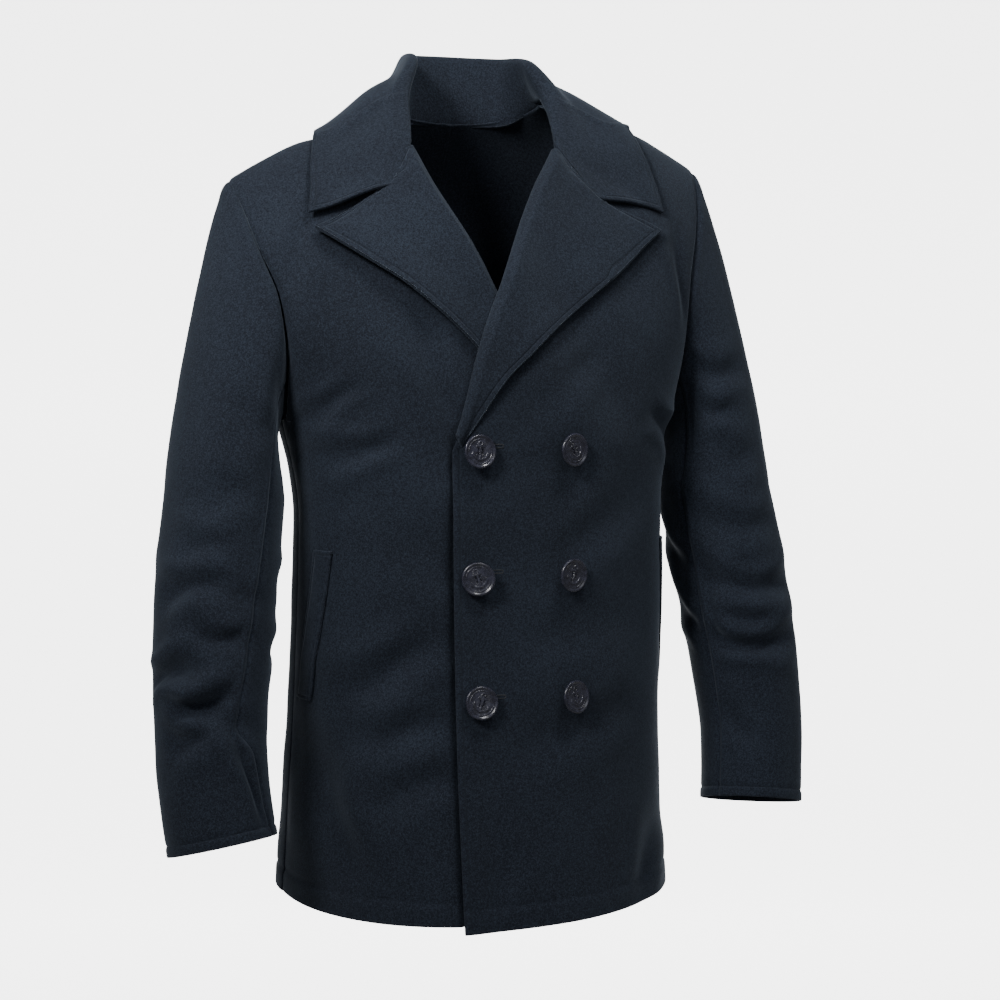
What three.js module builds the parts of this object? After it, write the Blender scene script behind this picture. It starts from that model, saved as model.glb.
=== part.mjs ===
// Double-breasted pea coat in melton wool, filled out as it is worn, in millimetres.
// +Z is up, the coat faces -Y and the wearer's left is +X.
// The origin is the middle of the neck, level with the inner ends of the shoulder seams.

import * as THREE from "three";

// Cloth
const wall = 2.5;
const lapelWall = 4.2;
const collarWall = 4;
const collarTaper = 1;
const seamGap = 0.4;

// Levels
const frontHem = { left: -787, right: -782 };
const sideHem = -779;
const armpit = -310;
const shoulderPoint = -72;
const shoulderReach = 245;
const neckReach = 78;
const shoulderSlope = -shoulderPoint / (shoulderReach - neckReach);
const shoulderCurve = 8;
const collarPress = { depth: 10, at: 136, spread: 26 };
const backNeck = -18;

// The wearer's left shoulder stands higher than the right one
const shoulderLean = { rise: 9, fromReach: 100, toReach: 170, fromLevel: -330, toLevel: -100 };

// Body sections: half width, middle line in Y, and reach to the front and back of it
const sectionPower = 2.35;
const bodySections = [
  { z: -790, halfWidth: 195, middle: 12, front: 190, back: 134 },
  { z: -675, halfWidth: 190, middle: 4, front: 166, back: 122 },
  { z: -540, halfWidth: 187, middle: -14, front: 135, back: 112 },
  { z: -400, halfWidth: 186, middle: -26, front: 118, back: 118 },
  { z: -310, halfWidth: 200, middle: -18, front: 123, back: 124 },
  { z: -250, halfWidth: 220, middle: -10, front: 124, back: 120 },
  { z: -190, halfWidth: 244, middle: -4, front: 117, back: 112 },
  { z: -130, halfWidth: 266, middle: 0, front: 109, back: 104 },
  { z: -60, halfWidth: 284, middle: 4, front: 100, back: 90 },
  { z: 40, halfWidth: 292, middle: 5, front: 90, back: 75 },
];
const frontClosing = 200;
const backClosing = 130;
const closingPower = 1.7;

// Armhole seam, as the distance from the middle at each level
const armholeSeam = [
  { z: -310, x: 200 },
  { z: -280, x: 204 },
  { z: -250, x: 206 },
  { z: -190, x: 213 },
  { z: -130, x: 231 },
  { z: -72, x: 245 },
];

// Roll lines: the folds of the lapels, seen from the front
const overlap = 68;
const breakLevel = -335;
const rollLines = {
  left: [
    { z: -335, x: -68 },
    { z: -311, x: -58 },
    { z: -246, x: -39 },
    { z: -195, x: -17 },
    { z: -134, x: 14 },
    { z: -89, x: 41 },
    { z: -52, x: 70 },
  ],
  right: [
    { z: -335, x: -68 },
    { z: -290, x: -31 },
    { z: -240, x: -4 },
    { z: -190, x: 20 },
    { z: -148, x: 38 },
    { z: -89, x: 67 },
    { z: -52, x: 80 },
  ],
};

// How far the left front stands off the body where it covers the right one
const coverLift = [
  { z: -790, lift: 3.4 },
  { z: -360, lift: 3.4 },
  { z: -325, lift: 7.2 },
  { z: -270, lift: 12.8 },
  { z: -150, lift: 12.8 },
  { z: -60, lift: 8 },
];
const coverFade = 75;

// Lapels, seen from the front: the outer edge from the tip down, and the top edge out to the tip
const lapelEdges = {
  left: [
    { t: 0, x: 171, z: -138 },
    { t: 0.35, x: 89, z: -187 },
    { t: 0.62, x: 13, z: -243 },
    { t: 0.78, x: -21, z: -274 },
    { t: 0.9, x: -43, z: -306 },
    { t: 1, x: -61, z: -332 },
  ],
  right: [
    { t: 0, x: 178, z: -122 },
    { t: 0.5, x: 97, z: -189 },
    { t: 0.8, x: 50, z: -232 },
    { t: 1, x: 22, z: -262 },
  ],
};
const gorgeEnds = { left: { x: 103, z: -101 }, right: { x: 103, z: -89 } };
const lapelFoot = { left: -325, right: -214 };
const gorgeFade = 0.3;
const notchGap = 3;
const lapelRest = 1.8;
const lapelPuff = { left: 3.5, right: 2.5 };

// Collar stations from the centre back to the front end: seam, fold and outer edge
const collarStations = {
  left: [
    { seamX: 0, seamY: 58, seamZ: -15, foldX: 0, foldY: 66, foldZ: 84, edgeX: 0, edgeY: 82, edgeZ: -50 },
    { seamX: 48, seamY: 44, seamZ: -10, foldX: 46, foldY: 55, foldZ: 82, edgeX: 90, edgeY: 72, edgeZ: -54 },
    { seamX: 78, seamY: 5, seamZ: 3, foldX: 46, foldY: 10, foldZ: 66, edgeX: 160, edgeY: 6, edgeZ: -28 },
    { seamX: 78, seamY: -18, seamZ: -18, foldX: 62, foldY: -22, foldZ: 22, edgeX: 171, edgeY: -38, edgeZ: -60 },
    { seamX: 75, seamY: -42, seamZ: -52, foldX: 58, foldY: -62, foldZ: -38, edgeX: 176, edgeY: -52, edgeZ: -90 },
    { seamX: 104, seamY: -74, seamZ: -94, foldX: 136, foldY: -80, foldZ: -98, edgeX: 177, edgeY: -62, edgeZ: -121 },
  ],
  right: [
    { seamX: 0, seamY: 58, seamZ: -15, foldX: 0, foldY: 66, foldZ: 84, edgeX: 0, edgeY: 82, edgeZ: -50 },
    { seamX: 48, seamY: 44, seamZ: -10, foldX: 42, foldY: 55, foldZ: 82, edgeX: 88, edgeY: 72, edgeZ: -56 },
    { seamX: 76, seamY: 5, seamZ: 2, foldX: 30, foldY: 12, foldZ: 70, edgeX: 156, edgeY: 6, edgeZ: -36 },
    { seamX: 80, seamY: -18, seamZ: -18, foldX: 56, foldY: -22, foldZ: 24, edgeX: 174, edgeY: -38, edgeZ: -66 },
    { seamX: 82, seamY: -42, seamZ: -50, foldX: 66, foldY: -60, foldZ: -38, edgeX: 178, edgeY: -52, edgeZ: -83 },
    { seamX: 105, seamY: -72, seamZ: -84, foldX: 136, foldY: -78, foldZ: -88, edgeX: 183, edgeY: -62, edgeZ: -106 },
  ],
};
const collarFoldWeight = { back: 2.4, front: 0.8, from: 0.3, to: 1 };
const collarRest = 2.4;
const collarRidgeRest = 1.2;
const collarSag = { depth: 9, at: 0.38, spread: 0.22 };

// Arms: centre line, half width across and fore and aft, and the slopes of each ring
const armRings = [
  { z: -705, x: 277, y: -80, across: 51, fore: 52, outSlope: -0.14, frontSlope: 0.24 },
  { z: -675, x: 280, y: -74, across: 51, fore: 53, outSlope: -0.12, frontSlope: 0.2 },
  { z: -630, x: 283, y: -66, across: 52, fore: 55, outSlope: -0.08, frontSlope: 0.16 },
  { z: -577, x: 281, y: -57, across: 54, fore: 58, outSlope: -0.04, frontSlope: 0.1 },
  { z: -515, x: 275, y: -46, across: 57, fore: 62, outSlope: -0.02, frontSlope: 0.06 },
  { z: -455, x: 268, y: -34, across: 58, fore: 66, outSlope: 0, frontSlope: 0.03 },
  { z: -385, x: 258, y: -22, across: 56.5, fore: 70, outSlope: 0, frontSlope: 0 },
];

// Sleeve seams, as turns from the front: at the cap, then down the arm
const capSeamTurn = -45;
const backSeamTurn = 150;
const wristTwist = { left: -13, right: 22 };
const frontSeamTurns = [
  { z: -705, left: -68, right: -52 },
  { z: -625, left: -66, right: -33 },
  { z: -590, left: -66, right: -21 },
  { z: -530, left: -66, right: -21 },
  { z: -460, left: -65, right: -27 },
  { z: -385, left: -64, right: -31 },
];

// Largest folds of the sleeves: level, turn from the front, depth, height and width in degrees
const sleeveFolds = {
  left: [
    { z: -352, turn: 60, depth: 2.5, tall: 14, wide: 60, slant: 0.3 },
    { z: -470, turn: -10, depth: 3, tall: 13, wide: 60, slant: -0.2 },
    { z: -535, turn: 10, depth: 2.6, tall: 13, wide: 55, slant: 0.2 },
  ],
  right: [
    { z: -470, turn: -5, depth: 2.5, tall: 13, wide: 50, slant: 0.3 },
    { z: -525, turn: 20, depth: 3, tall: 13, wide: 55, slant: -0.2 },
    { z: -585, turn: 5, depth: 5, tall: 14, wide: 55, slant: 0.35 },
  ],
};

// Welt pockets: turn round the body section at the top and bottom of the front edge
const weltTop = { z: -432, turn: 63.5 };
const weltBottom = { z: -578, turn: 75 };
const weltWidth = 9.2;
const weltWall = 2.4;
const weltRest = 0.4;

// Buttons
const buttonRadius = 16;
const buttonStem = 4.8;
const buttonStemRadius = 3;
const buttonSeat = 0.7;
const buttonRows = [
  { name: "top", z: -337, left: { turn: 14, nod: 2 }, right: { turn: 9, nod: -5 } },
  { name: "middle", z: -456, left: { turn: 11, nod: 2 }, right: { turn: -8, nod: -3 } },
  { name: "bottom", z: -573, left: { turn: 14, nod: -4 }, right: { turn: 3, nod: -5 } },
];
const buttonColumns = [
  { name: "left", x: 46 },
  { name: "right", x: -46 },
];

// Grid steps
const lowerRows = 10;
const upperRows = 12;
const frontColumns = 14;
const backColumns = 10;
const neckRow = 1 + 10 / upperRows;
const topSleeveColumns = 14;
const underSleeveColumns = 11;
const capRows = 7;
const armRows = 11;
const lapelRows = { left: 13, right: 9 };
const lapelColumns = 8;
const collarRows = 15;
const collarColumns = 10;
const weltRows = 7;
const weltColumns = 3;
const buttonSegments = 18;

const wool = new THREE.Color(0x1b242d);
const horn = new THREE.Color(0x23232f);

const { sin, cos, abs, min, max, PI } = Math;
const radians = PI / 180;
const vec = (x, y, z) => new THREE.Vector3(x, y, z);
const lerp = THREE.MathUtils.lerp;
const smooth = THREE.MathUtils.smoothstep;

// Value of one column of a table at a place between its rows, on a smooth curve through them
function sample(rows, place, at, column) {
  const sign = rows[0][place] < rows[rows.length - 1][place] ? 1 : -1;
  let i = 0;
  while (i < rows.length - 2 && sign * rows[i + 1][place] < sign * at) i += 1;
  const low = rows[i];
  const high = rows[i + 1];
  const span = high[place] - low[place];
  const share = min(1, max(0, (at - low[place]) / span));
  const slope = (a, b) => (b[column] - a[column]) / (b[place] - a[place]);
  const blend = (a, b) => (a * b > 0 ? (2 * a * b) / (a + b) : 0);
  const here = slope(low, high);
  const before = i > 0 ? blend(slope(rows[i - 1], low), here) : here;
  const after = i < rows.length - 2 ? blend(here, slope(high, rows[i + 2])) : here;
  const square = share * share;
  const cube = square * share;
  return (
    (2 * cube - 3 * square + 1) * low[column] +
    (cube - 2 * square + share) * span * before +
    (3 * square - 2 * cube) * high[column] +
    (cube - square) * span * after
  );
}

const halfWidth = (z) => sample(bodySections, "z", z, "halfWidth");
const middle = (z) => sample(bodySections, "z", z, "middle");
const armholeX = (z) => sample(armholeSeam, "z", z, "x");

// Rise of the shoulder seam above a straight line between its ends, less what the collar presses in
function seamRise(x) {
  const share = min(1, max(0, (abs(x) - neckReach) / (shoulderReach - neckReach)));
  const { depth, at, spread } = collarPress;
  return shoulderCurve * sin(PI * share) - depth * Math.exp(-(((abs(x) - at) / spread) ** 2));
}

// Height of the shoulder ridge, rounded over between the neck points
function ridge(x) {
  if (abs(x) > neckReach) return shoulderSlope * (neckReach - abs(x)) + seamRise(x);
  return (shoulderSlope * (neckReach ** 2 - x * x)) / (2 * neckReach);
}

// Share of the full depth of the body at a drop below the shoulder ridge
function closing(drop, length) {
  const share = min(1, max(0, drop / length));
  return (1 - (1 - share) ** closingPower) ** (1 / closingPower);
}

function depthAt(x, z, face) {
  const reach = sample(bodySections, "z", z, face < 0 ? "front" : "back");
  return reach * closing(ridge(x) - z, face < 0 ? frontClosing : backClosing);
}

// Body surface at a place seen from the front; face is -1 at the front and 1 at the back
function bodyPoint(x, z, face) {
  const ratio = min(1, abs(x) / halfWidth(z));
  const across = (1 - ratio ** sectionPower) ** (1 / sectionPower);
  return vec(x, middle(z) + face * depthAt(x, z, face) * across, z);
}

// Outward normal: the slope of the body section's equation
function bodyNormal(point, face) {
  if (ridge(point.x) - point.z < 0.05) {
    return vec(shoulderSlope * Math.sign(point.x || 1), 0, 1).normalize();
  }
  const step = 0.05;
  const field = (x, y, z) =>
    (abs(x) / halfWidth(z)) ** sectionPower +
    (abs(y - middle(z)) / max(0.5, depthAt(x, z, face))) ** sectionPower;
  const { x, y, z } = point;
  return vec(
    field(x + step, y, z) - field(x - step, y, z),
    field(x, y + step, z) - field(x, y - step, z),
    field(x, y, z + step) - field(x, y, z - step),
  ).normalize();
}

const turnOf = (ratio) => Math.sign(ratio) * Math.asin(min(1, abs(ratio)) ** (sectionPower / 2));
const reachOf = (turn) => Math.sign(turn) * abs(sin(turn)) ** (2 / sectionPower);

// Stand-off of the left front over the right one, fading out past the right one's edge
function standOff(side, x, z) {
  if (side < 0) return 0;
  const covered = z < breakLevel ? overlap : -sample(rollLines.right, "z", z, "x");
  const lift = sample(coverLift, "z", z, "lift");
  return lift * (1 - smooth(x, covered + 4, covered + 4 + coverFade));
}

// A place on a front, in the coordinates of its own side, raised by a height
function onFront(side, x, z, height) {
  const point = bodyPoint(x, z, -1);
  const normal = bodyNormal(point, -1);
  return point.addScaledVector(normal, standOff(side, x, z) + height);
}

// Closed wall between two grids of points, with its four edges
function wallGeometry(outer, inner) {
  const rows = outer.length;
  const columns = outer[0].length;
  const positions = [...outer.flat(), ...inner.flat()].flatMap((p) => [p.x, p.y, p.z]);
  const index = [];
  const at = (layer, r, c) => (layer * rows + r) * columns + c;
  const quad = (a, b, c, d) => index.push(a, b, c, a, c, d);
  for (let r = 0; r < rows - 1; r += 1) {
    for (let c = 0; c < columns - 1; c += 1) {
      quad(at(0, r, c), at(0, r, c + 1), at(0, r + 1, c + 1), at(0, r + 1, c));
      quad(at(1, r, c), at(1, r + 1, c), at(1, r + 1, c + 1), at(1, r, c + 1));
    }
  }
  for (let c = 0; c < columns - 1; c += 1) {
    quad(at(0, 0, c), at(1, 0, c), at(1, 0, c + 1), at(0, 0, c + 1));
    quad(at(0, rows - 1, c + 1), at(1, rows - 1, c + 1), at(1, rows - 1, c), at(0, rows - 1, c));
  }
  for (let r = 0; r < rows - 1; r += 1) {
    quad(at(0, r + 1, 0), at(1, r + 1, 0), at(1, r, 0), at(0, r, 0));
    quad(at(0, r, columns - 1), at(1, r, columns - 1), at(1, r + 1, columns - 1), at(0, r + 1, columns - 1));
  }
  if (signedVolume(positions, index) < 0) index.reverse();
  const geometry = new THREE.BufferGeometry();
  geometry.setAttribute("position", new THREE.Float32BufferAttribute(positions, 3));
  geometry.setIndex(index);
  geometry.computeVertexNormals();
  return geometry;
}

function signedVolume(positions, index) {
  const point = (i) => vec(positions[3 * i], positions[3 * i + 1], positions[3 * i + 2]);
  let volume = 0;
  for (let i = 0; i < index.length; i += 3) {
    volume += point(index[i]).dot(point(index[i + 1]).cross(point(index[i + 2])));
  }
  return volume;
}

// Normals of a grid of points, from the lines along its rows and columns
function gridNormals(grid, sign) {
  const pick = (r, c) => grid[min(grid.length - 1, max(0, r))][min(grid[0].length - 1, max(0, c))];
  return grid.map((row, r) =>
    row.map((_, c) => {
      const along = pick(r, c + 1).clone().sub(pick(r, c - 1));
      const up = pick(r + 1, c).clone().sub(pick(r - 1, c));
      return along.cross(up).normalize().multiplyScalar(sign);
    }),
  );
}

// Wall laid to both sides of a grid of middle points
function wallAbout(grid, thickness) {
  const normals = gridNormals(grid, 1);
  const shifted = (share) =>
    grid.map((row, r) => row.map((p, c) => p.clone().addScaledVector(normals[r][c], share * thickness(r, c))));
  return wallGeometry(shifted(0.5), shifted(-0.5));
}

// Raise the left shoulder and lower the right one, in the coat's own coordinates
function leaned(point) {
  const { rise, fromReach, toReach, fromLevel, toLevel } = shoulderLean;
  const share = smooth(abs(point.x), fromReach, toReach) * smooth(point.z, fromLevel, toLevel);
  return point.add(vec(0, 0, Math.sign(point.x) * rise * share));
}

const mirrored = (grid, side) => grid.map((row) => row.map((p) => leaned(vec(side * p.x, p.y, p.z))));

function woolMesh(name, geometry, shade = 1) {
  const material = new THREE.MeshStandardMaterial({
    color: wool.clone().multiplyScalar(shade),
    roughness: 0.92,
    metalness: 0,
  });
  const mesh = new THREE.Mesh(geometry, material);
  mesh.name = name;
  return mesh;
}

// Outer edge of a panel: up the side seam, then round the armhole to the shoulder point
function outerEdge(row) {
  if (row <= 1) {
    const z = lerp(sideHem, armpit, row);
    return { x: halfWidth(z), z };
  }
  const z = armholeLevel(-90 + 180 * (row - 1));
  return { x: armholeX(z), z };
}

function armholeLevel(turn) {
  return (armpit + shoulderPoint) / 2 + ((shoulderPoint - armpit) / 2) * sin(turn * radians);
}

// Inner edge of a front: the front edge, then the roll line, then the neckline
function frontInnerEdge(row, rollLine, hem) {
  if (row <= 1) return { x: -overlap, z: lerp(hem, breakLevel, row) };
  const neck = rollLine[rollLine.length - 1];
  if (row <= neckRow) {
    const z = lerp(breakLevel, neck.z, (row - 1) / (neckRow - 1));
    return { x: sample(rollLine, "z", z, "x"), z };
  }
  const share = (row - neckRow) / (2 - neckRow);
  return { x: lerp(neck.x, neckReach, share), z: lerp(neck.z, 0, share) };
}

// Inner edge of a back: the centre back seam, then a quarter round of the neckline
function backInnerEdge(row) {
  if (row <= 1) return { x: seamGap / 2, z: lerp(sideHem, armpit, row) };
  if (row <= neckRow) return { x: seamGap / 2, z: lerp(armpit, backNeck, (row - 1) / (neckRow - 1)) };
  const turn = ((row - neckRow) / (2 - neckRow)) * (PI / 2);
  return { x: seamGap / 2 + (neckReach - seamGap / 2) * sin(turn), z: backNeck * cos(turn) };
}

// Points of a panel between its inner and outer edges, spread by their turn round the section
function panelGrid(innerEdge, face, columns, place) {
  const rows = [];
  for (let i = 0; i <= lowerRows; i += 1) rows.push(i / lowerRows);
  for (let i = 1; i <= upperRows; i += 1) rows.push(1 + i / upperRows);
  return rows.map((row) => {
    const inner = innerEdge(row);
    const outer = outerEdge(row);
    const innerTurn = turnOf(inner.x / halfWidth(inner.z));
    const outerTurn = row <= 1 ? PI / 2 : turnOf(outer.x / halfWidth(outer.z));
    const line = [];
    for (let c = 0; c <= columns; c += 1) {
      const reach = reachOf(lerp(innerTurn, outerTurn, c / columns));
      const share = (reach - reachOf(innerTurn)) / (reachOf(outerTurn) - reachOf(innerTurn));
      const x = lerp(inner.x, outer.x, share);
      line.push(place(x, lerp(inner.z, outer.z, share) + seamRise(x) * max(0, row - 1)));
    }
    return line;
  });
}

// A panel's wall: its inner skin follows the body's own normals, so neighbours meet edge to edge
function panel(name, side, face, innerEdge, columns, shade) {
  const shift = (face * seamGap) / 2;
  const skin = (depth) =>
    panelGrid(innerEdge, face, columns, (x, z) => {
      const point = bodyPoint(x, z, face);
      const normal = bodyNormal(point, face);
      const raise = face < 0 ? standOff(side, x, z) : 0;
      return point.addScaledVector(normal, raise - depth).add(vec(0, shift, 0));
    });
  return woolMesh(name, wallGeometry(mirrored(skin(0), side), mirrored(skin(wall), side)), shade);
}

// Point of the armhole seam at a turn from the front, 90 at the shoulder point, -90 at the armpit
function armholePoint(turn) {
  const z = armholeLevel(turn);
  const face = cos(turn * radians) > 0 ? -1 : 1;
  return bodyPoint(armholeX(z), z, face);
}

function armholeOutward(turn) {
  const face = cos(turn * radians) > 0 ? -1 : 1;
  const along = armholePoint(turn + 2).sub(armholePoint(turn - 2)).normalize();
  const outward = along.cross(bodyNormal(armholePoint(turn), face));
  return outward.x < 0 ? outward.negate() : outward;
}

// Point of an arm ring at a turn from the front, pressed in by the folds near it
function armPoint(sideName, z, turn) {
  const get = (column) => sample(armRings, "z", z, column);
  const across = sin(turn * radians);
  const ahead = cos(turn * radians);
  const fold = sleeveFolds[sideName].reduce((sum, f) => {
    const away = ((turn - f.turn + 540) % 360) - 180;
    const level = (z - f.z - f.slant * away) / f.tall;
    return sum + f.depth * Math.exp(-level * level - (away / f.wide) ** 2);
  }, 0);
  const out = get("across") - fold;
  const fore = get("fore") - fold;
  const tilt = get("outSlope") * out * across + get("frontSlope") * fore * ahead;
  return vec(get("x") + out * across, get("y") - fore * ahead, z + tilt);
}

// Point of the sleeve cap on a Hermite curve from the armhole to the first arm ring
function capPoint(sideName, share, turn) {
  const topRing = armRings[armRings.length - 1].z;
  const start = armholePoint(turn).add(vec(seamGap, 0, 0));
  const end = armPoint(sideName, topRing, turn);
  const length = start.distanceTo(end);
  const low = max(0, -sin(turn * radians));
  const startLine = vec(0.15 + 0.4 * low, -0.12 * cos(turn * radians), -0.2).multiplyScalar(length);
  const endLine = vec(0.1 * (1 - low), -0.05, -0.96).multiplyScalar(length);
  const square = share * share;
  const cube = square * share;
  return start
    .multiplyScalar(2 * cube - 3 * square + 1)
    .addScaledVector(startLine, cube - 2 * square + share)
    .addScaledVector(end, 3 * square - 2 * cube)
    .addScaledVector(endLine, cube - square);
}

// Turns of the front and back seams of a sleeve at a share of the cap and a share of the way down the arm
function seamTurns(sideName, capShare, down, z) {
  const front = lerp(capSeamTurn, sample(frontSeamTurns, "z", z, sideName), capShare);
  return { front, back: backSeamTurn + wristTwist[sideName] * down };
}

// One piece of a sleeve: the top one from the front seam to the back seam, the under one on round to the front
function sleevePiece(name, sideName, side, isTop, shade) {
  const topRing = armRings[armRings.length - 1].z;
  const cuff = armRings[0].z;
  const count = isTop ? topSleeveColumns : underSleeveColumns;
  const edgeGap = 0.22;
  const grid = [];
  for (let r = 0; r <= capRows + armRows; r += 1) {
    const line = [];
    const down = max(0, (r - capRows) / armRows);
    const z = lerp(topRing, cuff, down);
    const { front, back } = seamTurns(sideName, min(1, r / capRows), down, z);
    const [from, to] = isTop ? [front, back] : [back, front + 360];
    for (let c = -1; c <= count + 1; c += 1) {
      const inset = c === 0 ? edgeGap : c === count ? -edgeGap : 0;
      const turn = lerp(from, to, c / count) + inset;
      line.push(r < capRows ? capPoint(sideName, r / capRows, turn) : armPoint(sideName, z, turn));
    }
    grid.push(line);
  }
  const normals = gridNormals(grid, -1);
  const inner = grid.map((line, r) =>
    line.map((point, c) => {
      const offset = normals[r][c].clone().multiplyScalar(-wall);
      if (r === 0) {
        const [from, to] = isTop ? [capSeamTurn, backSeamTurn] : [backSeamTurn, capSeamTurn + 360];
      const outward = armholeOutward(lerp(from, to, (c - 1) / count));
        offset.addScaledVector(outward, -min(0, offset.dot(outward)));
      }
      return point.clone().add(offset);
    }),
  );
  const trim = (lines) => lines.map((line) => line.slice(1, -1));
  return woolMesh(name, wallGeometry(mirrored(trim(grid), side), mirrored(trim(inner), side)), shade);
}

// A lapel: a hook behind the front's edge, the round roll, and the facing laid over the front
function lapel(name, sideName, side) {
  const rollLine = rollLines[sideName];
  const edge = lapelEdges[sideName];
  const neck = rollLine[rollLine.length - 1];
  const rows = lapelRows[sideName];
  const hook = [
    { d: 6, h: -5.4, t: 2 },
    { d: 2, h: -5.1, t: 2 },
    { d: -2.4, h: -3.9, t: 2 },
    { d: -4.1, h: -0.8, t: 2.2 },
    { d: -2.5, h: 2.5, t: 2.8 },
  ];
  const grid = [];
  const thick = [];
  for (let r = 0; r <= rows; r += 1) {
    const share = r / rows;
    const rollZ = lerp(neck.z - notchGap, lapelFoot[sideName], share);
    const start = { x: sample(rollLine, "z", rollZ, "x"), z: rollZ };
    const end = { x: sample(edge, "t", share, "x"), z: sample(edge, "t", share, "z") };
    const dx = end.x - start.x;
    const dz = end.z - start.z;
    const length = Math.hypot(dx, dz);
    const spot = (d, h) => {
      const corner = gorgeEnds[sideName];
      const bend = gorgeBend(start, corner, end, max(0, d / length)) * max(0, 1 - share / gorgeFade);
      return onFront(side, start.x + (dx / length) * d, start.z + (dz / length) * d + bend, h);
    };
    const puff = lapelPuff[sideName] * (1 - smooth(share, 0.5, 1));
    const line = hook.map((k) => spot(min(k.d, length), k.h));
    for (let c = 0; c <= lapelColumns; c += 1) {
      const d = lerp(min(3, length / 4), length, c / lapelColumns);
      line.push(spot(d, lapelWall / 2 + lapelRest + puff * Math.exp(-((d / 26) ** 2))));
    }
    grid.push(line);
    thick.push([...hook.map((k) => k.t), ...Array(lapelColumns + 1).fill(lapelWall)]);
  }
  return woolMesh(name, wallAbout(mirrored(grid, side), (r, c) => thick[r][c]), 1.04);
}

// The top edge of a lapel dips along the gorge seam, then runs straight to the tip
function gorgeBend(start, corner, end, share) {
  const place = max(0.1, (corner.x - start.x) / (end.x - start.x));
  const dip = corner.z - notchGap - lerp(start.z, end.z, place);
  return share < place ? (dip * share) / place : (dip * (1 - share)) / (1 - place);
}

// Keep a collar point clear of the body and of the left front's stand-off
function clearOfBody(point, side, height) {
  const face = point.y < middle(point.z) ? -1 : 1;
  const drop = ridge(point.x) - point.z;
  if (drop <= 0) {
    const above = -drop * 0.9;
    const rest = height + collarRidgeRest;
    return above < rest ? point.add(vec(0, 0, rest - above)) : point;
  }
  const seat = bodyPoint(point.x, point.z, face);
  const normal = bodyNormal(seat, face);
  const nearRidge = collarRidgeRest * Math.exp(-((drop / 12) ** 2));
  const lift = height + nearRidge + (face < 0 ? standOff(side, point.x, point.z) : 0);
  const away = point.clone().sub(seat).dot(normal);
  return away < lift ? point.addScaledVector(normal, lift - away) : point;
}

// Collar section: a weighted curve from the seam over the fold to the outer edge; over the shoulder its leaf sags
function collarPoint(side, station, across) {
  const rows = side > 0 ? collarStations.left : collarStations.right;
  const table = rows.map((row, t) => ({ t, ...row }));
  const at = station * (rows.length - 1);
  const get = (column) => sample(table, "t", at, column);
  const seam = vec(get("seamX"), get("seamY"), get("seamZ"));
  const fold = vec(get("foldX"), get("foldY"), get("foldZ"));
  const edge = vec(get("edgeX"), get("edgeY"), get("edgeZ"));
  const { back, front, from, to } = collarFoldWeight;
  const weight = lerp(back, front, smooth(station, from, to));
  const a = (1 - across) ** 2;
  const b = 2 * across * (1 - across) * weight;
  const c = across ** 2;
  const point = seam
    .multiplyScalar(a)
    .addScaledVector(fold, b)
    .addScaledVector(edge, c)
    .divideScalar(a + b + c);
  const leaf = sin(PI * smooth(across, 0.45, 1)) ** 2;
  point.z -= collarSag.depth * leaf * Math.exp(-(((station - collarSag.at) / collarSag.spread) ** 2));
  return clearOfBody(point, side, collarRest);
}

function collar() {
  const grid = [];
  for (let r = -collarRows; r <= collarRows; r += 1) {
    const side = r < 0 ? -1 : 1;
    const line = [];
    for (let c = 0; c <= collarColumns; c += 1) {
      const share = c / collarColumns;
      const point = collarPoint(side, abs(r) / collarRows, 0.5 - 0.5 * cos(PI * lerp(0.06, 1, share)));
      point.x *= side;
      line.push(leaned(point));
    }
    grid.push(line);
  }
  const thickness = (r, c) => collarWall - collarTaper * (c / collarColumns) ** 4;
  return woolMesh("collar", wallAbout(grid, thickness), 1.08);
}

// A slanted welt on a front, laid on the panel's own surface
function pocketWelt(name, side) {
  const skin = (height) => {
    const grid = [];
    for (let r = 0; r <= weltRows; r += 1) {
      const z = lerp(weltBottom.z, weltTop.z, r / weltRows);
      const edgeTurn = lerp(weltBottom.turn, weltTop.turn, r / weltRows);
      const line = [];
      for (let c = 0; c <= weltColumns; c += 1) {
        const turn = (edgeTurn + (weltWidth * c) / weltColumns) * radians;
        line.push(onFront(side, halfWidth(z) * reachOf(turn), z, height).add(vec(0, -seamGap / 2, 0)));
      }
      grid.push(line);
    }
    return mirrored(grid, side);
  };
  return woolMesh(name, wallGeometry(skin(weltRest + weltWall), skin(weltRest)), 1.04);
}

// A sewn button: a thread stem, a dished back edge, a raised rim and a sunk middle
function button(name, x, z, tilt) {
  const profile = [
    [0, 0],
    [buttonStemRadius, 0],
    [buttonStemRadius, buttonStem],
    [buttonRadius - 3, buttonStem],
    [buttonRadius, buttonStem + 1.8],
    [buttonRadius - 0.4, buttonStem + 3.4],
    [buttonRadius - 1.6, buttonStem + 4],
    [buttonRadius - 3.2, buttonStem + 3.1],
    [5, buttonStem + 2.8],
    [0, buttonStem + 2.4],
  ].map(([r, h]) => new THREE.Vector2(r, h));
  const mesh = new THREE.Mesh(
    new THREE.LatheGeometry(profile, buttonSegments),
    new THREE.MeshStandardMaterial({ color: horn, roughness: 0.32, metalness: 0 }),
  );
  const seat = onFront(1, x, z, 0);
  const normal = bodyNormal(bodyPoint(x, z, -1), -1);
  const axis = normal.clone().applyAxisAngle(vec(0, 0, 1), tilt.turn * radians);
  axis.applyAxisAngle(vec(1, 0, 0), tilt.nod * radians);
  const lean = axis.angleTo(normal);
  mesh.quaternion.setFromUnitVectors(vec(0, 1, 0), axis);
  mesh.position.copy(seat.addScaledVector(normal, buttonSeat + buttonStemRadius * sin(lean)));
  mesh.name = name;
  return mesh;
}

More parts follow.
